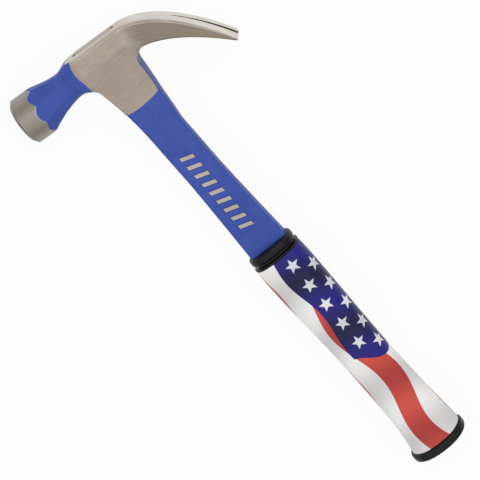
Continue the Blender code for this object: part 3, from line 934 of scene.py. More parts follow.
@dataclass
class Eye:
    """Obround eye in the top of the head, and the plug that fills it."""

    head: Head
    length: float = 29.0
    width: float = 12.0
    depth: float = 16.0
    clearance: float = 0.12
    end_gap: float = 1.1
    sunk: float = 0.12
    overrun: float = 15.0
    plug_edge: float = 0.2
    side_rings: int = 5
    edge_rings: int = 5
    sharp_deg: float = 40.0

    def rings(self, length: float, width: float, levels: np.ndarray) -> np.ndarray:
        """Outlines with round ends, level with the head's axis.

        Args:
            length: Length over the ends, along the axis.
            width: Width across.
            levels: Height of each outline over the axis.

        Returns:
            Array of outlines by points by 3.
        """
        bend = half_round(width)
        bend[:, 0] += (length - width) / 2
        plan = np.concatenate([bend, -bend])
        return self.head.place(plan[None, :, 0], np.broadcast_to(levels[:, None], (len(levels), len(plan))),
                               plan[None, :, 1])

    def tool(self) -> bpy.types.Object:
        """Solid that cuts the eye."""
        levels = self.head.top_rise + np.array([-self.depth, self.overrun])
        return solid("eye_tool", *loft(self.rings(self.length, self.width, levels)))

    def build(self, finish: bpy.types.Material) -> bpy.types.Object:
        """Make and dress the hickory plug.

        Args:
            finish: Material of the plug.

        Returns:
            The finished piece: straight sides, then an edge that draws in to the sanded top.
        """
        top = self.head.top_rise - self.sunk
        length, width = self.length - 2 * self.end_gap, self.width - 2 * self.clearance
        straight = np.linspace(self.head.top_rise - self.depth + self.clearance, top - self.plug_edge,
                               self.side_rings)
        rings = [self.rings(length, width, straight)]
        for run, inset in quarter_round(self.plug_edge, self.edge_rings)[::-1][1:]:
            rings.append(self.rings(length - 2 * inset, width - 2 * inset, np.array([top - run])))
        made = solid("hickory_plug", *loft(np.concatenate(rings)))
        dress(made, "shock_plug", finish, self.sharp_deg)
        return made


@dataclass
class Forging:
    """Head, claw, neck, shank and tang as one piece of steel, ground and enamelled."""

    head: Head = field(default_factory=Head)
    bars: RaisedBars = field(default_factory=RaisedBars)
    grind_softness: float = 0.12
    softness_run: float = 10.0
    softness_least: float = 0.02
    bright_reach: float = 17.2
    bright_rise: float = 6.5
    bright_bulge: float = 5.8
    bright_depth: float = 3.0
    tines_start: float = 22.0
    neck_border: float = 29.0
    neck_bulge: float = 2.0
    edge_rub: float = 0.5
    throat_rub: float = 2.0
    turned_rub: float = 0.05
    flat_rub: float = 0.15
    bar_margin: float = 6.0
    # Millimetres from the enamel's edge that one millimetre of ground depth counts for
    ground_gain: float = 8.0
    turned_gain: float = 4.0
    bar_gain: float = 6.0
    border_blend: float = 3.0
    corner_size: float = 8.0
    corner_pull: float = 0.6
    corner_rounds: int = 60
    # Steel tones, higher for finer grinding: the head's top and the claw's back are set lighter partly as a
    # painted sheen, the claw's sides and the bell darker partly as painted shade, and the face dark as
    # painted shade
    top_polish_and_sheen: float = 0.75
    cheek_polish: float = 0.5
    back_polish_and_sheen: float = 1.0
    claw_polish_and_shade: float = 0.25
    bell_polish_and_shade: float = 0.40
    face_shade: float = 0.1
    bar_polish: float = 0.62
    polish_start: float = 4.0
    polish_run: float = 12.0
    face_blend: float = 0.4
    # Depth of the rounded edge beside the claw's back, in chamfers
    side_depth: float = 1.5
    # Painted shade along the rims of the claw's back near the head, where its rounded edge turns from the
    # light: strength, width at the root, and least share of that width at the tips
    rim_shade: float = 0.6
    rim_width: float = 9.0
    rim_least: float = 0.05
    sharp_deg: float = 32.0
    claw: Claw = field(init=False)
    shank: Shank = field(init=False)
    eye: Eye = field(init=False)

    def __post_init__(self) -> None:
        """Build the parts that hang on the head's sizes."""
        self.claw = Claw(self.head)
        self.shank = Shank(self.head, self.claw)
        self.eye = Eye(self.head)

    def raw(self) -> bpy.types.Object:
        """Make the forging before its cheeks are ground.

        Returns:
            Raw head and shank joined, with the slot and the eye cut and the bars raised.
        """
        poll = self.head.poll_rings()
        head = np.concatenate([self.head.face_rings(poll[0]), poll, self.claw.rings()])
        made = solid("claw_hammer_forging", *loft(head))
        combine(made, solid("raw_shank", *loft(self.shank.rings())), "UNION")
        combine(made, self.claw.slot_tool(), "DIFFERENCE")
        combine(made, self.eye.tool(), "DIFFERENCE")
        combine(made, self.bars.tool(self.shank.half_thickness), "UNION")
        return made

    def ground_limit(self, points: np.ndarray) -> np.ndarray:
        """Half thickness that the grinding leaves at each point.

        Args:
            points: Raw design points.

        Returns:
            The taper of cheeks and neck, carried by smooth steps to the half widths
            of the claw and the poll, and no limit past them.
        """
        reach, _ = self.head.local(points)
        claw_end = self.head.claw_start + self.claw.waist_at
        poll_end = self.shank.neck_front + self.shank.throat_radius
        to_claw = ease((-reach - self.shank.neck_back) / (claw_end - self.shank.neck_back))
        to_poll = ease((reach - self.shank.neck_front) / (poll_end - self.shank.neck_front))
        limit = mix(self.shank.ground_half(-points[:, 0]), self.claw.waist_half, to_claw)
        limit = mix(limit, self.head.half_width(poll_end), to_poll)
        free = (reach < -claw_end) | (reach > poll_end) | (points[:, 0] < -self.shank.thin_end)
        return np.where(free, np.inf, limit)

    def grind(self, points: np.ndarray) -> np.ndarray:
        """Flatten the cheeks and the neck: a soft least of the height and the ground limit.

        Args:
            points: Raw design points.

        Returns:
            The points with z drawn under the limit, over a short soft range that
            shrinks to nothing where the ground surface runs out.
        """
        height, limit = np.abs(points[:, 2]), self.ground_limit(points)
        left = (self.shank.ground_end + points[:, 0]) / self.softness_run
        soft = self.grind_softness * np.clip(left, self.softness_least, 1)
        held = -soft * np.logaddexp(-height / soft, -limit / soft)
        ground = points.copy()
        ground[:, 2] = np.sign(points[:, 2]) * held
        return ground

    def fillet(self, made: bpy.types.Object, raw: np.ndarray) -> tuple[np.ndarray, np.ndarray]:
        """Grind the raw forging and even out the corners of its throats.

        Args:
            made: The raw forging.
            raw: Its design points.

        Returns:
            The ground points, and their distances from the enamel's edge. Near a throat's
            outer end both are relaxed, which leaves the soft corner of a forging die.
        """
        pull = self.corner_pull * self.shank.corner_share(raw, self.corner_size)
        bare = self.bare(raw)
        near = np.clip(bare, -self.border_blend, self.border_blend)[:, None]
        even = relaxed(made, near, pull, self.corner_rounds)[:, 0]
        return relaxed(made, self.grind(raw), pull, self.corner_rounds), np.where(pull > 0, even, bare)

    def bare(self, raw: np.ndarray) -> np.ndarray:
        """Distance in millimetres, about, from the enamel's edge, over 0 on bright steel.

        Args:
            raw: Design points before the cheeks are ground.

        Returns:
            One value a point: the greatest of the values of each ground surface.
        """
        reach, rise = self.head.local(raw)
        height = np.abs(raw[:, 2])
        bow = self.neck_bulge * (1 - (raw[:, 1] / self.shank.neck_back) ** 2)
        border = raw[:, 0] + self.neck_border + bow
        ground = self.ground_gain * (height - self.ground_limit(raw) + self.edge_rub)
        throat = self.shank.neck_front + self.throat_rub - reach
        neck = np.where(rise < 0, np.min([border, ground, throat], axis=0), OUTSIDE)
        turned = self.turned_gain * (self.turned_rub - self.head.turned_gap(reach, rise, raw[:, 2]))
        bell = np.where(reach > self.head.waist_reach, turned, OUTSIDE)
        bell = np.maximum(bell, reach - self.head.bell_back)
        top = np.where(reach > 0, self.turned_gain * (rise - self.head.top_rise + self.flat_rub), OUTSIDE)
        bulge = self.bright_reach - self.bright_bulge * ((rise - self.bright_rise) / self.head.top_rise) ** 2
        block = np.minimum(bulge - reach, rise + self.bright_depth)
        tines = -reach - self.tines_start
        among = (raw[:, 0] < self.bar_margin - self.bars.first) & (raw[:, 0] > -self.shank.mouth_at)
        bar_top = self.shank.half_thickness + self.bars.proud
        bars = np.where(among, self.bar_gain * (raw[:, 2] - bar_top + self.flat_rub), OUTSIDE)
        body = blended_max(neck, block, self.border_blend)
        return np.max([body, bell, top, tines, bars], axis=0)

    def grind_lines_and_shade(self, points: np.ndarray) -> np.ndarray:
        """Coordinates along and across the belt's scratches, and a steel tone for the grinding's polish with
        painted sheen and shade.

        Args:
            points: Ground design points.

        Returns:
            Rows of along and across in millimetres, and a tone from 0 to 1. The scratches follow the head's
            axis on the cheeks, the curve on the claw, and circles on the bell. The claw's back and the head's
            top are finer and set lighter, partly as a painted sheen. Painted shade darkens the claw's back
            along its rims near the head. The claw's coarse sides and the bell are set darker, partly as
            painted shade, and the face dark as painted shade.
        """
        reach, rise = self.head.local(points)
        run = np.clip(-self.head.claw_start - reach, 0, self.claw.span)
        back_reach, back_rise, out_reach, out_rise = self.claw.back(run)
        lift = (reach - back_reach) * out_reach + (rise - back_rise) * out_rise
        on_claw = reach < -self.head.claw_start
        length = self.claw.length(run)
        along = np.where(on_claw, -length - self.head.claw_start, reach)
        across = np.where(on_claw, lift + self.head.top_rise, rise) + points[:, 2]
        bell = reach > self.head.waist_reach
        turned = np.hypot(rise, points[:, 2]) + reach
        side = ease(-lift / (self.side_depth * self.claw.chamfer_at(length)))
        # Painted shade along the rims of the claw's back, widest at the root and narrowing to the tips
        rim = self.rim_width * np.clip(1 - length / self.claw.length(self.claw.span), self.rim_least, 1)
        inside = self.claw.half_at(length) - np.abs(points[:, 2])
        wear_and_shade = np.maximum(side, self.rim_shade * ease(1 - inside / rim))
        # The head's top and the claw's back are set lighter, partly as a painted sheen, and the claw's coarse
        # sides darker, partly as painted shade
        on_head = mix(self.top_polish_and_sheen, self.cheek_polish, side)
        polish_and_shade = mix(on_head, mix(self.back_polish_and_sheen, self.claw_polish_and_shade, wear_and_shade),
                     ease((run - self.polish_start) / self.polish_run))
        # Down the shank only the tops of the bars are bare
        polish_and_shade = np.where(rise < -self.bars.first / 2, self.bar_polish, polish_and_shade)
        # The turned bell is set a little darker, partly as painted shade, and the face with its chamfer dark
        # as painted shade of the chamfer seen edge on
        edge = self.head.face_reach - self.head.face_chamfer_length
        to_face = ease((reach - edge) / self.face_blend)
        polish_and_shade = np.where(bell, mix(self.bell_polish_and_shade, self.face_shade, to_face), polish_and_shade)
        return np.stack([np.where(bell, 0.0, along), np.where(bell, turned, across), polish_and_shade], -1)

    def build(self, finish: bpy.types.Material) -> bpy.types.Object:
        """Make, grind and dress the forging.

        Args:
            finish: Material of the forging.

        Returns:
            The finished piece.
        """
        made = self.raw()
        raw = design_points(made)
        ground, bare = self.fillet(made, raw)
        move_points(made, ground)
        store(made, Mask.BARE, bare)
        store(made, Mask.GRIND, self.grind_lines_and_shade(ground))
        store(made, Mask.SLOT, self.claw.slot_gap(ground))
        dress(made, "head_and_shank", finish, self.sharp_deg)
        return made


# Handle

@dataclass
class Grip:
    """Moulded grip: collar bead, groove, ridge, seat for the sleeve and butt flange."""

    mouth_at: float = 143.0
    length: float = 168.0
    socket_clearance: float = 0.3
    mouth_half: float = 15.2
    mouth_height: float = 24.2
    bead_length: float = 4.9
    bead_radius: float = 1.8
    bead_back_radius: float = 1.2
    groove_length: float = 1.6
    groove_depth: float = 1.8
    groove_wall: float = 0.6
    ridge_length: float = 1.7
    ridge_rise: float = 0.3
    ridge_edge_run: float = 0.4
    ridge_edge_drop: float = 0.3
    swell_at: float = 18.0
    swell_half: float = 16.05
    swell_height: float = 25.0
    waist_at: float = 93.0
    waist_front: float = 13.85
    waist_back: float = 15.35
    waist_height: float = 23.2
    end_front: float = 17.2
    end_back: float = 17.9
    end_height: float = 26.6
    flange_length: float = 5.6
    flange_half: float = 19.0
    flange_half_height: float = 14.6
    flange_radius: float = 1.6
    butt_dome: float = 2.2
    butt_bow: float = 1.2
    butt_bow_run: float = 24.0
    front_ease: float = 4.0
    back_ease: float = 1.5
    height_ease: float = 2.0
    squareness: float = 2.4
    sleeve_thickness: float = 0.5
    sleeve_clearance: float = 0.3
    around: int = 160
    seat_rings: int = 60
    dome_rings: int = 13
    # Size of the dome's last ring, as a share of the butt
    pole_share: float = 0.12
    sharp_deg: float = 38.0

    @property
    def seat_start(self) -> float:
        """Distance from the mouth to the seat of the sleeve."""
        return self.bead_length + self.groove_length + self.ridge_length

    @property
    def flange_start(self) -> float:
        """Distance from the mouth to the butt flange."""
        return self.length - self.butt_dome - self.flange_length

    def rings(self, along: np.ndarray, grow: np.ndarray, count: int) -> np.ndarray:
        """Rings of the dressed form, grown by an offset.

        Args:
            along: Distances from the mouth.
            grow: Millimetres over the form at each ring.
            count: Points in a ring.

        Returns:
            Array of rings by points by 3. Smooth steps lead from mouth to swell to
            waist, and power curves lead from the waist to the flange.
        """
        to_swell = ease(along / self.swell_at)
        to_waist = ease((along - self.swell_at) / (self.waist_at - self.swell_at))
        to_end = np.clip((along - self.waist_at) / (self.flange_start - self.waist_at), 0, 1)

        def blend(mouth: float, swell: float, waist: float, end: float, power: float) -> np.ndarray:
            """Carry one size from mouth to swell to waist to end."""
            return mix(mix(mix(mouth, swell, to_swell), waist, to_waist), end, to_end ** power)

        front = blend(self.mouth_half, self.swell_half, self.waist_front, self.end_front, self.front_ease)
        back = blend(self.mouth_half, self.swell_half, self.waist_back, self.end_back, self.back_ease)
        height = blend(self.mouth_height, self.swell_height, self.waist_height, self.end_height,
                       self.height_ease) / 2
        return self.bowed(oval_rings(-self.mouth_at - along, front + grow, back + grow, height + grow,
                                     np.full(len(along), self.squareness), count), along)

    def bowed(self, rings: np.ndarray, along: np.ndarray) -> np.ndarray:
        """Draw the sides up the handle near the butt.

        Args:
            rings: Array of rings by points by 3.
            along: Distance of each ring from the mouth.

        Returns:
            The rings, moved by the square of each point's distance from the middle and
            by a smooth step along the handle.
        """
        bow = self.butt_bow * ease((along - self.flange_start) / self.butt_bow_run + 1)
        rings = rings.copy()
        rings[..., 0] += bow[:, None] * (rings[..., 1] / self.flange_half) ** 2
        return rings

    def flange_rings(self) -> np.ndarray:
        """Rings of the flange and of the butt.

        Returns:
            Array of rings by points by 3. The flange has quarter rounds at its edges, and
            the butt's dome falls with the square of the share from its middle.
        """
        edge = quarter_round(self.flange_radius)
        butt = self.flange_start + self.flange_length
        share = np.linspace(1, self.pole_share, self.dome_rings + 1)[1:]
        along = np.concatenate([self.flange_start + edge[:, 0], butt - edge[::-1, 0],
                                butt + self.butt_dome * (1 - share ** 2)])
        inset = np.concatenate([edge[:, 1], edge[::-1, 1], np.full(len(share), self.flange_radius)])
        size = np.concatenate([np.ones(2 * len(edge)), share])
        wide, high = (self.flange_half - inset) * size, (self.flange_half_height - inset) * size
        return self.bowed(oval_rings(-self.mouth_at - along, wide, wide, high,
                                     np.full(len(along), self.squareness), self.around), along)

    def socket_rings(self, shank: Shank) -> np.ndarray:
        """Rings up the blind socket.

        Args:
            shank: Shank whose tang the socket holds.

        Returns:
            Array of rings by points by 3, clear of the tang all round.
        """
        shoulder = np.linspace(shank.mouth_at + shank.shoulder_length, shank.mouth_at, shank.shoulder_rings)
        down = np.concatenate([[shank.tang_end, shank.tang_end - shank.tang_chamfer], shoulder])
        front, back, height, square = shank.section(down)
        grow = np.full(len(down), self.socket_clearance)
        grow[0] -= shank.tang_chamfer
        down[0] += self.socket_clearance
        return oval_rings(-down, front + grow, back + grow, height + grow, square, self.around)

    def build(self, shank: Shank, finish: bpy.types.Material) -> bpy.types.Object:
        """Carry the profile up the socket, out over the collar and along to the butt.

        Args:
            shank: Shank whose tang the socket holds.
            finish: Material of the grip.

        Returns:
            The finished piece.
        """
        lead, trail = quarter_round(self.bead_radius), quarter_round(self.bead_back_radius)[::-1]
        ridge = self.bead_length + self.groove_length
        seat = np.linspace(self.seat_start, self.flange_start, self.seat_rings)
        depth = self.sleeve_thickness + self.sleeve_clearance
        along = np.concatenate([lead[:, 0], self.bead_length - trail[:, 0],
                                [self.bead_length + self.groove_wall, ridge, ridge + self.groove_wall,
                                 self.seat_start - self.ridge_edge_run, self.seat_start], seat])
        grow = np.concatenate([-lead[:, 1], -trail[:, 1],
                               [-self.groove_depth, -self.groove_depth, self.ridge_rise, self.ridge_rise,
                                self.ridge_rise - self.ridge_edge_drop], np.full(len(seat), -depth)])
        rings = np.concatenate([self.socket_rings(shank), self.rings(along, grow, self.around),
                                self.flange_rings()])
        made = solid("vinyl_grip", *loft(rings))
        dress(made, "grip", finish, self.sharp_deg)
        return made


@dataclass
class PrintedSleeve:
    """Shrunk film in the grip's seat, printed with stars on navy and wavy stripes."""

    grip: Grip
    step: float = 0.5
    around: int = 264
    inner_rings: int = 16
    end_round: float = 0.2
    girth: float = 88.0
    field_end: float = 82.0
    end_wave: float = 5.0
    end_waves: int = 2
    end_phase: float = 0.6
    field_half: float = 25.5
    side_wave: float = 2.0
    side_wave_length: float = 57.0
    star_pitch_along: float = 15.5
    star_rows: int = 8
    star_radius: float = 5.0
    star_inner: float = 0.40
    star_margin: float = 1.5
    stripe_pairs: int = 3
    stripe_shift: float = 11.0
    stripe_wave: float = 4.0
    stripe_wave_length: float = 78.0
    fold_length: float = 41.0
    fold_swirl: float = 1.3
    fold_phase: float = 0.8
    sharp_deg: float = 50.0

    def field_edge(self, along: np.ndarray, around: np.ndarray) -> np.ndarray:
        """Millimetres inside the navy field.

        Args:
            along: Distance from the collar.
            around: Distance round from the palm's centre line.

        Returns:
            The lesser of the distances to its end and to its sides, which wave as sines.
        """
        turn = math.tau * around / self.girth
        end = self.field_end + self.end_wave * np.sin(self.end_waves * turn + self.end_phase) - along
        wave = self.side_wave * np.sin(math.tau * along / self.side_wave_length)
        side = self.field_half + wave - np.abs(around)
        return np.minimum(end, side)

    def star_edge(self, along: np.ndarray, around: np.ndarray) -> np.ndarray:
        """Millimetres inside the nearest five-pointed star of a staggered grid.

        Args:
            along: Distance from the collar.
            around: Distance round from the palm's centre line.

        Returns:
            Distance to a star's sides. The angle is folded into a tenth of a turn,
            where a side is one straight line from a tip to an inner corner.
        """
        row_pitch = self.girth / self.star_rows
        row = np.floor(around / row_pitch)
        stagger = self.star_pitch_along / 2 * (row % 2)
        column = np.round((along - stagger) / self.star_pitch_along)
        centre_along, centre_around = column * self.star_pitch_along + stagger, (row + 0.5) * row_pitch
        run, off = centre_along - along, around - centre_around
        angle = np.arctan2(off, run)
        tenth = math.pi / 5
        folded = np.abs((angle + tenth) % (2 * tenth) - tenth)
        radius = np.hypot(run, off)
        tip = np.array([self.star_radius, 0.0])
        inner = self.star_radius * self.star_inner * np.array([math.cos(tenth), math.sin(tenth)])
        normal = np.array([inner[1] - tip[1], tip[0] - inner[0]])
        normal = normal / np.linalg.norm(normal)
        inside = normal @ tip - radius * (normal[0] * np.cos(folded) + normal[1] * np.sin(folded))
        kept = self.field_edge(centre_along, centre_around) > self.star_radius + self.star_margin
        kept &= centre_along > self.star_radius + self.star_margin
        return np.where(kept, inside, OUTSIDE)

    def stripe_edge(self, along: np.ndarray, around: np.ndarray) -> np.ndarray:
        """Millimetres inside the nearest red stripe.

        Args:
            along: Distance from the collar.
            around: Distance round from the palm's centre line.

        Returns:
            Distance to the side of a lengthwise stripe that waves as a sine.
        """
        pair = self.girth / self.stripe_pairs
        wave = self.stripe_wave * np.sin(math.tau * along / self.stripe_wave_length)
        place = (around - self.stripe_shift + wave + pair / 4) % pair
        return pair / 4 - np.abs(place - pair / 2)

    def fold_shade(self, along: np.ndarray, around: np.ndarray) -> np.ndarray:
        """Printed shading of a waving cloth.

        Args:
            along: Distance from the collar.
            around: Distance round from the palm's centre line.

        Returns:
            A sine of the distance along, shifted round the handle: 0 in a hollow, 1 on a crest.
        """
        turn = math.tau * around / self.girth
        wave = math.tau * along / self.fold_length + self.fold_swirl * np.sin(turn) + self.fold_phase
        return (1 + np.sin(wave)) / 2

    def build(self, finish: bpy.types.Material) -> bpy.types.Object:
        """Carry the film out along the seat and back on its inside, and lay the print on it.

        Args:
            finish: Material of the sleeve.

        Returns:
            The finished piece.
        """
        start = self.grip.seat_start + self.grip.sleeve_clearance
        end = self.grip.flange_start - self.grip.sleeve_clearance
        outer = np.arange(start + self.end_round, end - self.end_round, self.step)
        inner = np.linspace(end, start, self.inner_rings)
        along = np.concatenate([[start], outer, [end], inner])
        grow = np.concatenate([[-self.end_round], np.zeros(len(outer)), [-self.end_round],
                               np.full(len(inner), -self.grip.sleeve_thickness)])
        rings = self.grip.rings(along, grow, self.around)
        made = solid("printed_sleeve_film", *loft(rings, wrap=True))
        angle = np.arctan2(rings[..., 2], -rings[..., 1])
        run = np.broadcast_to(along[:, None] - start, angle.shape).ravel()
        around = angle.ravel() / math.tau * self.girth
        store(made, Mask.FIELD, self.field_edge(run, around))
        store(made, Mask.STAR, self.star_edge(run, around))
        store(made, Mask.STRIPE, self.stripe_edge(run, around))
        store(made, Mask.FOLD, self.fold_shade(run, around))
        dress(made, "printed_sleeve", finish, self.sharp_deg)
        return made


GRIP = Grip()


# Finishes

def connect(tree: bpy.types.NodeTree, node: bpy.types.Node, inputs: Sockets) -> None:
    """Link a node's inputs to output sockets, or set them to plain values.

    Args:
        tree: Node tree that holds the node.
        node: Node whose inputs are meant.
        inputs: Values or output sockets by input name or number.
    """
    for place, value in inputs.items():
        if isinstance(value, bpy.types.NodeSocket):
            tree.links.new(value, node.inputs[place])
        else:
            node.inputs[place].default_value = value


def add(tree: bpy.types.NodeTree, kind: str, inputs: Sockets | None = None,
        **settings: object) -> bpy.types.Node:
    """Add a node, with its settings, values and links.

    Args:
        tree: Node tree of a material or the world.
        kind: Blender's name of the node.
        inputs: Values or output sockets by input name or number.
        **settings: Properties of the node.

    Returns:
        The node.
    """
    node = tree.nodes.new(kind)
    for name, value in settings.items():
        setattr(node, name, value)
    connect(tree, node, inputs or {})
    return node


def set_stops(node: bpy.types.Node, stops: list[tuple[float, Colour]]) -> None:
    """Give a colour ramp its stops.

    Args:
        node: The ramp, as it is when new.
        stops: Positions from low to high, each with its colour.
    """
    marks = node.color_ramp.elements
    marks.remove(marks[-1])
    marks[0].position, marks[0].color = stops[0]
    for stop, colour in stops[1:]:
        marks.new(stop).color = colour


def new_material(name: str) -> tuple[bpy.types.Material, bpy.types.NodeTree, bpy.types.Node]:
    """Make a node material with only its output and a Principled shader.

    Args:
        name: Name of the material.

    Returns:
        The material, its node tree and the shader.
    """
    made = bpy.data.materials.new(name)
    made.use_nodes = True
    tree = made.node_tree
    return made, tree, tree.nodes["Principled BSDF"]


@dataclass(frozen=True)
class GroundAndEnamelledSteel:
    """Forged steel, belt ground where the enamel stops.

    The belt leaves fine parallel scratches and a warm grey sheen, and the walls of the nail slot are drawn
    darker. The steel's tones also hold painted light: a lighter claw back and head top, partly as a painted
    sheen, and darker claw sides, rims, bell and face, in part or in whole as painted shade. The enamel is a
    satin blue baked coat, a little clouded, with a faint orange peel.
    """

    # Colours of the steel from coarse grinding to a fine one, over which the tones also lay a painted sheen
    # and painted shade
    polish_and_shade_tones: tuple[tuple[float, str], ...] = (
        (0.0, "#5c554e"), (0.25, "#8a8073"), (0.4, "#98928a"), (0.5, "#aa9e92"), (1.0, "#d9d4ca"))
    slot_tone: float = 0.2
    slot_edge: float = 0.2
    scratch_contrast: float = 0.34
    patch_contrast: float = 0.05
    steel_roughness: float = 0.40
    scratch_length: float = 16.0
    # Belt scratches are about 0.1 mm apart; drawn coarser so that they show
    scratch_width: float = 0.55
    scratch_detail: float = 4.0
    scratch_grit: float = 0.65
    scratch_gloss: float = 0.08
    enamel: str = "#475aab"
    enamel_deep: str = "#3f53a1"
    enamel_roughness: float = 0.38
    enamel_gloss: float = 0.05
    peel_size: float = 1.6
    peel_detail: float = 1.0
    mottle_size: float = 14.0
    mottle_detail: float = 5.0
    mottle_grit: float = 0.6
    mottle_low: float = 0.35
    mottle_high: float = 0.65
    edge: float = 0.25
    relief_strength: float = 0.12
    relief_depth: float = 0.1

    def build(self) -> bpy.types.Material:
        """Build the node material.

        Returns:
            The finished material.
        """
        made, tree, shader = new_material("ground_and_enamelled_steel")
        bare = add(tree, "ShaderNodeAttribute", attribute_name=Mask.BARE.value).outputs["Fac"]
        lines = add(tree, "ShaderNodeAttribute", attribute_name=Mask.GRIND.value).outputs["Vector"]
        polish_and_shade = add(tree, "ShaderNodeSeparateXYZ", {"Vector": lines}).outputs["Z"]
        place = add(tree, "ShaderNodeTexCoord").outputs["Object"]
        bright = add(tree, "ShaderNodeMapRange", {
            "Value": bare, "From Min": -self.edge / 2, "From Max": self.edge / 2}).outputs["Result"]
        drawn = add(tree, "ShaderNodeMapping", {
            "Vector": lines, "Scale": (1 / self.scratch_length, 1 / self.scratch_width, 0)}).outputs["Vector"]
        scratch = add(tree, "ShaderNodeTexNoise", {
            "Vector": drawn, "Scale": 1.0, "Detail": self.scratch_detail,
            "Roughness": self.scratch_grit}).outputs["Fac"]
        cloud = add(tree, "ShaderNodeTexNoise", {
            "Vector": place, "Scale": 1 / (self.mottle_size * MM), "Detail": self.mottle_detail,
            "Roughness": self.mottle_grit}).outputs["Fac"]
        mottle = add(tree, "ShaderNodeMapRange", {
            "Value": cloud, "From Min": self.mottle_low, "From Max": self.mottle_high}).outputs["Result"]
        peel = add(tree, "ShaderNodeTexNoise", {
            "Vector": place, "Scale": 1 / (self.peel_size * MM), "Detail": self.peel_detail}).outputs["Fac"]
        # Steel colour from the tone, which carries the grinding's polish together with a painted sheen and
        # painted shade
        tones = add(tree, "ShaderNodeValToRGB", {"Fac": polish_and_shade})
        set_stops(tones, [(stop, linear(code)) for stop, code in self.polish_and_shade_tones])
        shade = add(tree, "ShaderNodeMapRange", {
            "Value": scratch, "To Min": 1 - self.scratch_contrast,
            "To Max": 1 + self.scratch_contrast}).outputs["Result"]
        patch = add(tree, "ShaderNodeMapRange", {
            "Value": mottle, "To Min": 1 - self.patch_contrast,
            "To Max": 1 + self.patch_contrast}).outputs["Result"]
        shade = add(tree, "ShaderNodeMath", {0: shade, 1: patch}, operation="MULTIPLY").outputs[0]
        # The walls of the nail slot are drawn darker, falling to the slot tone inside its edge
        gap = add(tree, "ShaderNodeAttribute", attribute_name=Mask.SLOT.value).outputs["Fac"]
        scale = add(tree, "ShaderNodeMapRange", {
            "Value": gap, "From Max": self.slot_edge, "To Min": self.slot_tone}).outputs["Result"]
        shade = add(tree, "ShaderNodeMath", {0: shade, 1: scale}, operation="MULTIPLY").outputs[0]
        steel = add(tree, "ShaderNodeVectorMath", {0: tones.outputs["Color"], "Scale": shade},
                    operation="SCALE").outputs["Vector"]
        enamel = add(tree, "ShaderNodeMix", {
            "Factor": mottle, MIX_A: linear(self.enamel_deep), MIX_B: linear(self.enamel)},
            data_type="RGBA").outputs[MIX_COLOUR]
        colour = add(tree, "ShaderNodeMix", {"Factor": bright, MIX_A: enamel, MIX_B: steel},
                     data_type="RGBA").outputs[MIX_COLOUR]
        steel_rough = add(tree, "ShaderNodeMapRange", {
            "Value": scratch, "To Min": self.steel_roughness + self.scratch_gloss,
            "To Max": self.steel_roughness - self.scratch_gloss}).outputs["Result"]
        rough = add(tree, "ShaderNodeMix", {
            "Factor": bright, "A": self.enamel_roughness, "B": steel_rough}).outputs["Result"]
        relief = add(tree, "ShaderNodeMix", {
            "Factor": bright, "A": peel, "B": scratch}).outputs["Result"]
        bump = add(tree, "ShaderNodeBump", {
            "Strength": self.relief_strength, "Distance": self.relief_depth * MM,
            "Height": relief}).outputs["Normal"]
        connect(tree, shader, {"Base Color": colour, "Metallic": bright, "Roughness": rough,
                               "Normal": bump, "Specular IOR Level": self.enamel_gloss})
        return made


@dataclass(frozen=True)
class EndGrainHickory:
    """Sawn hickory seen on its end grain: fine dark pores along pale growth rings."""

    pale: str = "#cfc2b5"
    dark: str = "#a89a8c"
    roughness: float = 0.75
    ring_width: float = 2.2
    ring_wobble: float = 2.0
    ring_detail: float = 2.0
    ring_detail_scale: float = 1.5
    pore_size: float = 0.6
    pore_detail: float = 2.0
    pore_share: float = 0.5
    relief_strength: float = 0.4
    relief_depth: float = 0.15

    def build(self) -> bpy.types.Material:
        """Build the node material.

        Returns:
            The finished material.
        """
        made, tree, shader = new_material("end_grain_hickory")
        place = add(tree, "ShaderNodeTexCoord").outputs["Object"]
        rings = add(tree, "ShaderNodeTexWave", {
            "Vector": place, "Scale": 1 / (self.ring_width * MM) / math.tau, "Distortion": self.ring_wobble,
            "Detail": self.ring_detail, "Detail Scale": self.ring_detail_scale},
            bands_direction="Z").outputs["Fac"]
        pores = add(tree, "ShaderNodeTexNoise", {
            "Vector": place, "Scale": 1 / (self.pore_size * MM), "Detail": self.pore_detail}).outputs["Fac"]
        tone = add(tree, "ShaderNodeMix", {
            "Factor": self.pore_share, "A": rings, "B": pores}).outputs["Result"]
        colour = add(tree, "ShaderNodeMix", {
            "Factor": tone, MIX_A: linear(self.dark), MIX_B: linear(self.pale)},
            data_type="RGBA").outputs[MIX_COLOUR]
        bump = add(tree, "ShaderNodeBump", {
            "Strength": self.relief_strength, "Distance": self.relief_depth * MM,
            "Height": tone}).outputs["Normal"]
        connect(tree, shader, {"Base Color": colour, "Normal": bump, "Roughness": self.roughness})
        return made


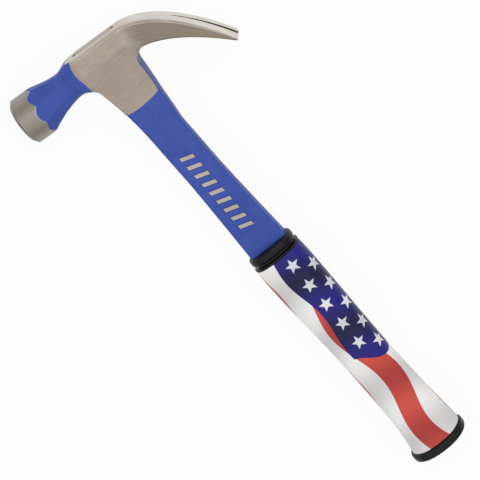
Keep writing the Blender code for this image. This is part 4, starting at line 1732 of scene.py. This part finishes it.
@dataclass(frozen=True)
class MouldedVinyl:
    """Black PVC from a mould: satin, with a fine even grain."""

    black: str = "#0d0d0d"
    wear_and_shade: str = "#181817"
    roughness: float = 0.36
    gloss: float = 0.22
    grain_size: float = 0.8
    scuff_size: float = 9.0
    scuff_detail: float = 5.0
    scuff_gloss: float = 0.1
    relief_strength: float = 0.15
    relief_depth: float = 0.1

    def build(self) -> bpy.types.Material:
        """Build the node material.

        Returns:
            The finished material.
        """
        made, tree, shader = new_material("moulded_black_vinyl")
        place = add(tree, "ShaderNodeTexCoord").outputs["Object"]
        grain = add(tree, "ShaderNodeTexVoronoi", {
            "Vector": place, "Scale": 1 / (self.grain_size * MM)}).outputs["Distance"]
        scuff = add(tree, "ShaderNodeTexNoise", {
            "Vector": place, "Scale": 1 / (self.scuff_size * MM), "Detail": self.scuff_detail}).outputs["Fac"]
        colour = add(tree, "ShaderNodeMix", {
            "Factor": scuff, MIX_A: linear(self.black), MIX_B: linear(self.wear_and_shade)},
            data_type="RGBA").outputs[MIX_COLOUR]
        rough = add(tree, "ShaderNodeMapRange", {
            "Value": scuff, "To Min": self.roughness - self.scuff_gloss,
            "To Max": self.roughness + self.scuff_gloss}).outputs["Result"]
        bump = add(tree, "ShaderNodeBump", {
            "Strength": self.relief_strength, "Distance": self.relief_depth * MM,
            "Height": grain}).outputs["Normal"]
        connect(tree, shader, {"Base Color": colour, "Roughness": rough, "Normal": bump,
                               "Specular IOR Level": self.gloss})
        return made


@dataclass(frozen=True)
class PrintedFilm:
    """Shrink film over ink: clean edged colours under a soft gloss with a slight ripple."""

    white: str = "#efeeec"
    shade: str = "#d0cecc"
    star: str = "#e6e6ec"
    star_shade: str = "#cdcdd6"
    red: str = "#cf5145"
    red_deep: str = "#aa3a38"
    navy: str = "#26207c"
    navy_deep: str = "#1d1b42"
    roughness: float = 0.4
    gloss: float = 0.22
    ink_edge: float = 0.3
    ripple_size: float = 6.0
    ripple_detail: float = 3.0
    relief_strength: float = 0.1
    relief_depth: float = 0.3

    def build(self) -> bpy.types.Material:
        """Build the node material.

        Returns:
            The finished material.
        """
        made, tree, shader = new_material("printed_shrink_film")
        place = add(tree, "ShaderNodeTexCoord").outputs["Object"]
        fold = add(tree, "ShaderNodeAttribute", attribute_name=Mask.FOLD.value).outputs["Fac"]
        ripple = add(tree, "ShaderNodeTexNoise", {
            "Vector": place, "Scale": 1 / (self.ripple_size * MM),
            "Detail": self.ripple_detail}).outputs["Fac"]

        def ink(dark: str, light: str) -> bpy.types.NodeSocket:
            """Colour of one ink, from its hollows to its crests.

            Args:
                dark: Hex colour in the hollows of the folds.
                light: Hex colour on their crests.

            Returns:
                Socket that gives the ink's colour.
            """
            return add(tree, "ShaderNodeMix", {
                "Factor": fold, MIX_A: linear(dark), MIX_B: linear(light)},
                data_type="RGBA").outputs[MIX_COLOUR]

        def printed(mask: Mask, under: bpy.types.NodeSocket,
                    over: bpy.types.NodeSocket) -> bpy.types.NodeSocket:
            """Lay one ink over another inside a mask's edge.

            Args:
                mask: Mask that is above zero where the ink lies.
                under: Colour outside the mask.
                over: Colour of the ink.

            Returns:
                Socket that gives the printed colour.
            """
            inside = add(tree, "ShaderNodeAttribute", attribute_name=mask.value).outputs["Fac"]
            share = add(tree, "ShaderNodeMapRange", {
                "Value": inside, "From Min": -self.ink_edge / 2,
                "From Max": self.ink_edge / 2}).outputs["Result"]
            return add(tree, "ShaderNodeMix", {"Factor": share, MIX_A: under, MIX_B: over},
                       data_type="RGBA").outputs[MIX_COLOUR]

        colour = printed(Mask.STRIPE, ink(self.shade, self.white), ink(self.red_deep, self.red))
        colour = printed(Mask.FIELD, colour, ink(self.navy_deep, self.navy))
        colour = printed(Mask.STAR, colour, ink(self.star_shade, self.star))
        bump = add(tree, "ShaderNodeBump", {
            "Strength": self.relief_strength, "Distance": self.relief_depth * MM,
            "Height": ripple}).outputs["Normal"]
        connect(tree, shader, {"Base Color": colour, "Normal": bump, "Roughness": self.roughness,
                               "Specular IOR Level": self.gloss})
        return made


# Studio

@dataclass
class Studio:
    """Pale floor, soft light, and the camera at the photograph's angle."""

    focal_pixels: float = 2000.0
    image_pixels: float = 480.0
    sensor_width: float = 36.0
    distance: float = 1173.2
    tilt_deg: float = 19.0
    roll_deg: float = 129.784
    aim_x: float = -130.43
    aim_y: float = 11.01
    # Sizes of the floor and of the lamp are metres
    floor_size: float = 6.0
    floor_colour: str = "#f4f4f4"
    floor_roughness: float = 0.9
    shadowless: float = 0.92
    # Strengths of the light from the horizon to overhead
    world_light: tuple[tuple[float, float], ...] = ((0.0, 0.75), (0.4, 0.5), (0.8, 0.95), (1.0, 1.05))
    key_power: float = 6.0
    key_size: float = 1.2
    key_height: float = 1.5
    key_lean: float = 0.6

    def axes(self) -> tuple[np.ndarray, np.ndarray, np.ndarray]:
        """Right, up and back of the camera.

        Returns:
            Unit vectors. The handle lies at the roll angle from the picture's right,
            and the camera leans from straight overhead towards the picture's top.
        """
        roll, tilt = math.radians(self.roll_deg), math.radians(self.tilt_deg)
        right = np.array([math.cos(roll), -math.sin(roll), 0.0])
        away = np.array([math.sin(roll), math.cos(roll), 0.0])
        overhead = np.array([0.0, 0.0, 1.0])
        return (right, math.cos(tilt) * away - math.sin(tilt) * overhead,
                math.sin(tilt) * away + math.cos(tilt) * overhead)

    def place_camera(self) -> None:
        """Set the camera over the point that the middle of the picture shows."""
        right, up, back = self.axes()
        aim = (np.array([self.aim_x, self.aim_y, 0.0]) + row_origin()) * MM
        data = bpy.data.cameras.new("photo_camera")
        data.sensor_width = self.sensor_width
        data.lens = self.focal_pixels / self.image_pixels * self.sensor_width
        camera = bpy.data.objects.new("photo_camera", data)
        turn = Matrix([[*row, 0.0] for row in np.stack([right, up, back], 1).tolist()] + [[0, 0, 0, 1]])
        camera.matrix_world = Matrix.Translation(aim + back * self.distance * MM) @ turn
        bpy.context.scene.collection.objects.link(camera)
        bpy.context.scene.camera = camera

    def lay_floor(self) -> None:
        """Pale floor whose white shows to the camera and in reflections, under a faint shadow."""
        half = self.floor_size / 2
        mesh = bpy.data.meshes.new("floor")
        mesh.from_pydata([(-half, -half, 0), (half, -half, 0), (half, half, 0), (-half, half, 0)], [],
                         [(0, 1, 2, 3)])
        floor = bpy.data.objects.new("floor", mesh)
        bpy.context.scene.collection.objects.link(floor)
        made, tree, shader = new_material("pale_floor")
        connect(tree, shader, {"Base Color": linear(self.floor_colour), "Roughness": self.floor_roughness})
        path = add(tree, "ShaderNodeLightPath")
        seen = add(tree, "ShaderNodeMath", {0: path.outputs["Is Camera Ray"],
                                            1: path.outputs["Is Glossy Ray"]}, operation="MAXIMUM")
        seen = add(tree, "ShaderNodeMath", {0: seen.outputs[0], 1: path.outputs["Is Transmission Ray"]},
                   operation="MAXIMUM")
        share = add(tree, "ShaderNodeMath", {0: seen.outputs[0], 1: self.shadowless},
                    operation="MULTIPLY")
        glow = add(tree, "ShaderNodeEmission", {"Strength": 1.0})
        both = add(tree, "ShaderNodeMixShader", {0: share.outputs[0], 1: shader.outputs[0],
                                                 2: glow.outputs[0]})
        connect(tree, tree.nodes["Material Output"], {"Surface": both.outputs[0]})
        mesh.materials.append(made)

    def light(self) -> None:
        """World light that is brightest overhead, and one large soft lamp by the picture's top."""
        world = bpy.data.worlds.new("soft_room")
        world.use_nodes = True
        tree = world.node_tree
        path = add(tree, "ShaderNodeLightPath")
        toward = add(tree, "ShaderNodeTexCoord").outputs["Generated"]
        height = add(tree, "ShaderNodeSeparateXYZ", {"Vector": toward}).outputs["Z"]
        sky = add(tree, "ShaderNodeValToRGB", {"Fac": height})
        set_stops(sky, [(stop, (level, level, level, 1.0)) for stop, level in self.world_light])
        strength = add(tree, "ShaderNodeMix", {"Factor": path.outputs["Is Camera Ray"],
                                               "A": sky.outputs["Color"], "B": 1.0})
        connect(tree, tree.nodes["Background"], {"Color": WHITE, "Strength": strength.outputs["Result"]})
        bpy.context.scene.world = world
        _, up, _ = self.axes()
        lean = self.key_height * self.key_lean
        lamp = bpy.data.lights.new("key_lamp", "AREA")
        lamp.energy, lamp.size = self.key_power, self.key_size
        key = bpy.data.objects.new("key_lamp", lamp)
        key.location = (up[0] * lean, up[1] * lean, self.key_height)
        key.rotation_mode = "QUATERNION"
        key.rotation_quaternion = key.location.to_track_quat("Z", "Y")
        bpy.context.scene.collection.objects.link(key)

    def build(self) -> None:
        """Set up the whole studio."""
        bpy.context.scene.view_settings.view_transform = "Standard"
        self.lay_floor()
        self.light()
        self.place_camera()


def main() -> None:
    """Build the pieces in order, then the studio."""
    logging.basicConfig(level=logging.INFO, format="%(message)s")
    forging = Forging()
    forging.build(GroundAndEnamelledSteel().build())
    forging.eye.build(EndGrainHickory().build())
    GRIP.build(forging.shank, MouldedVinyl().build())
    PrintedSleeve(GRIP).build(PrintedFilm().build())
    Studio().build()


if __name__ == "__main__":
    main()
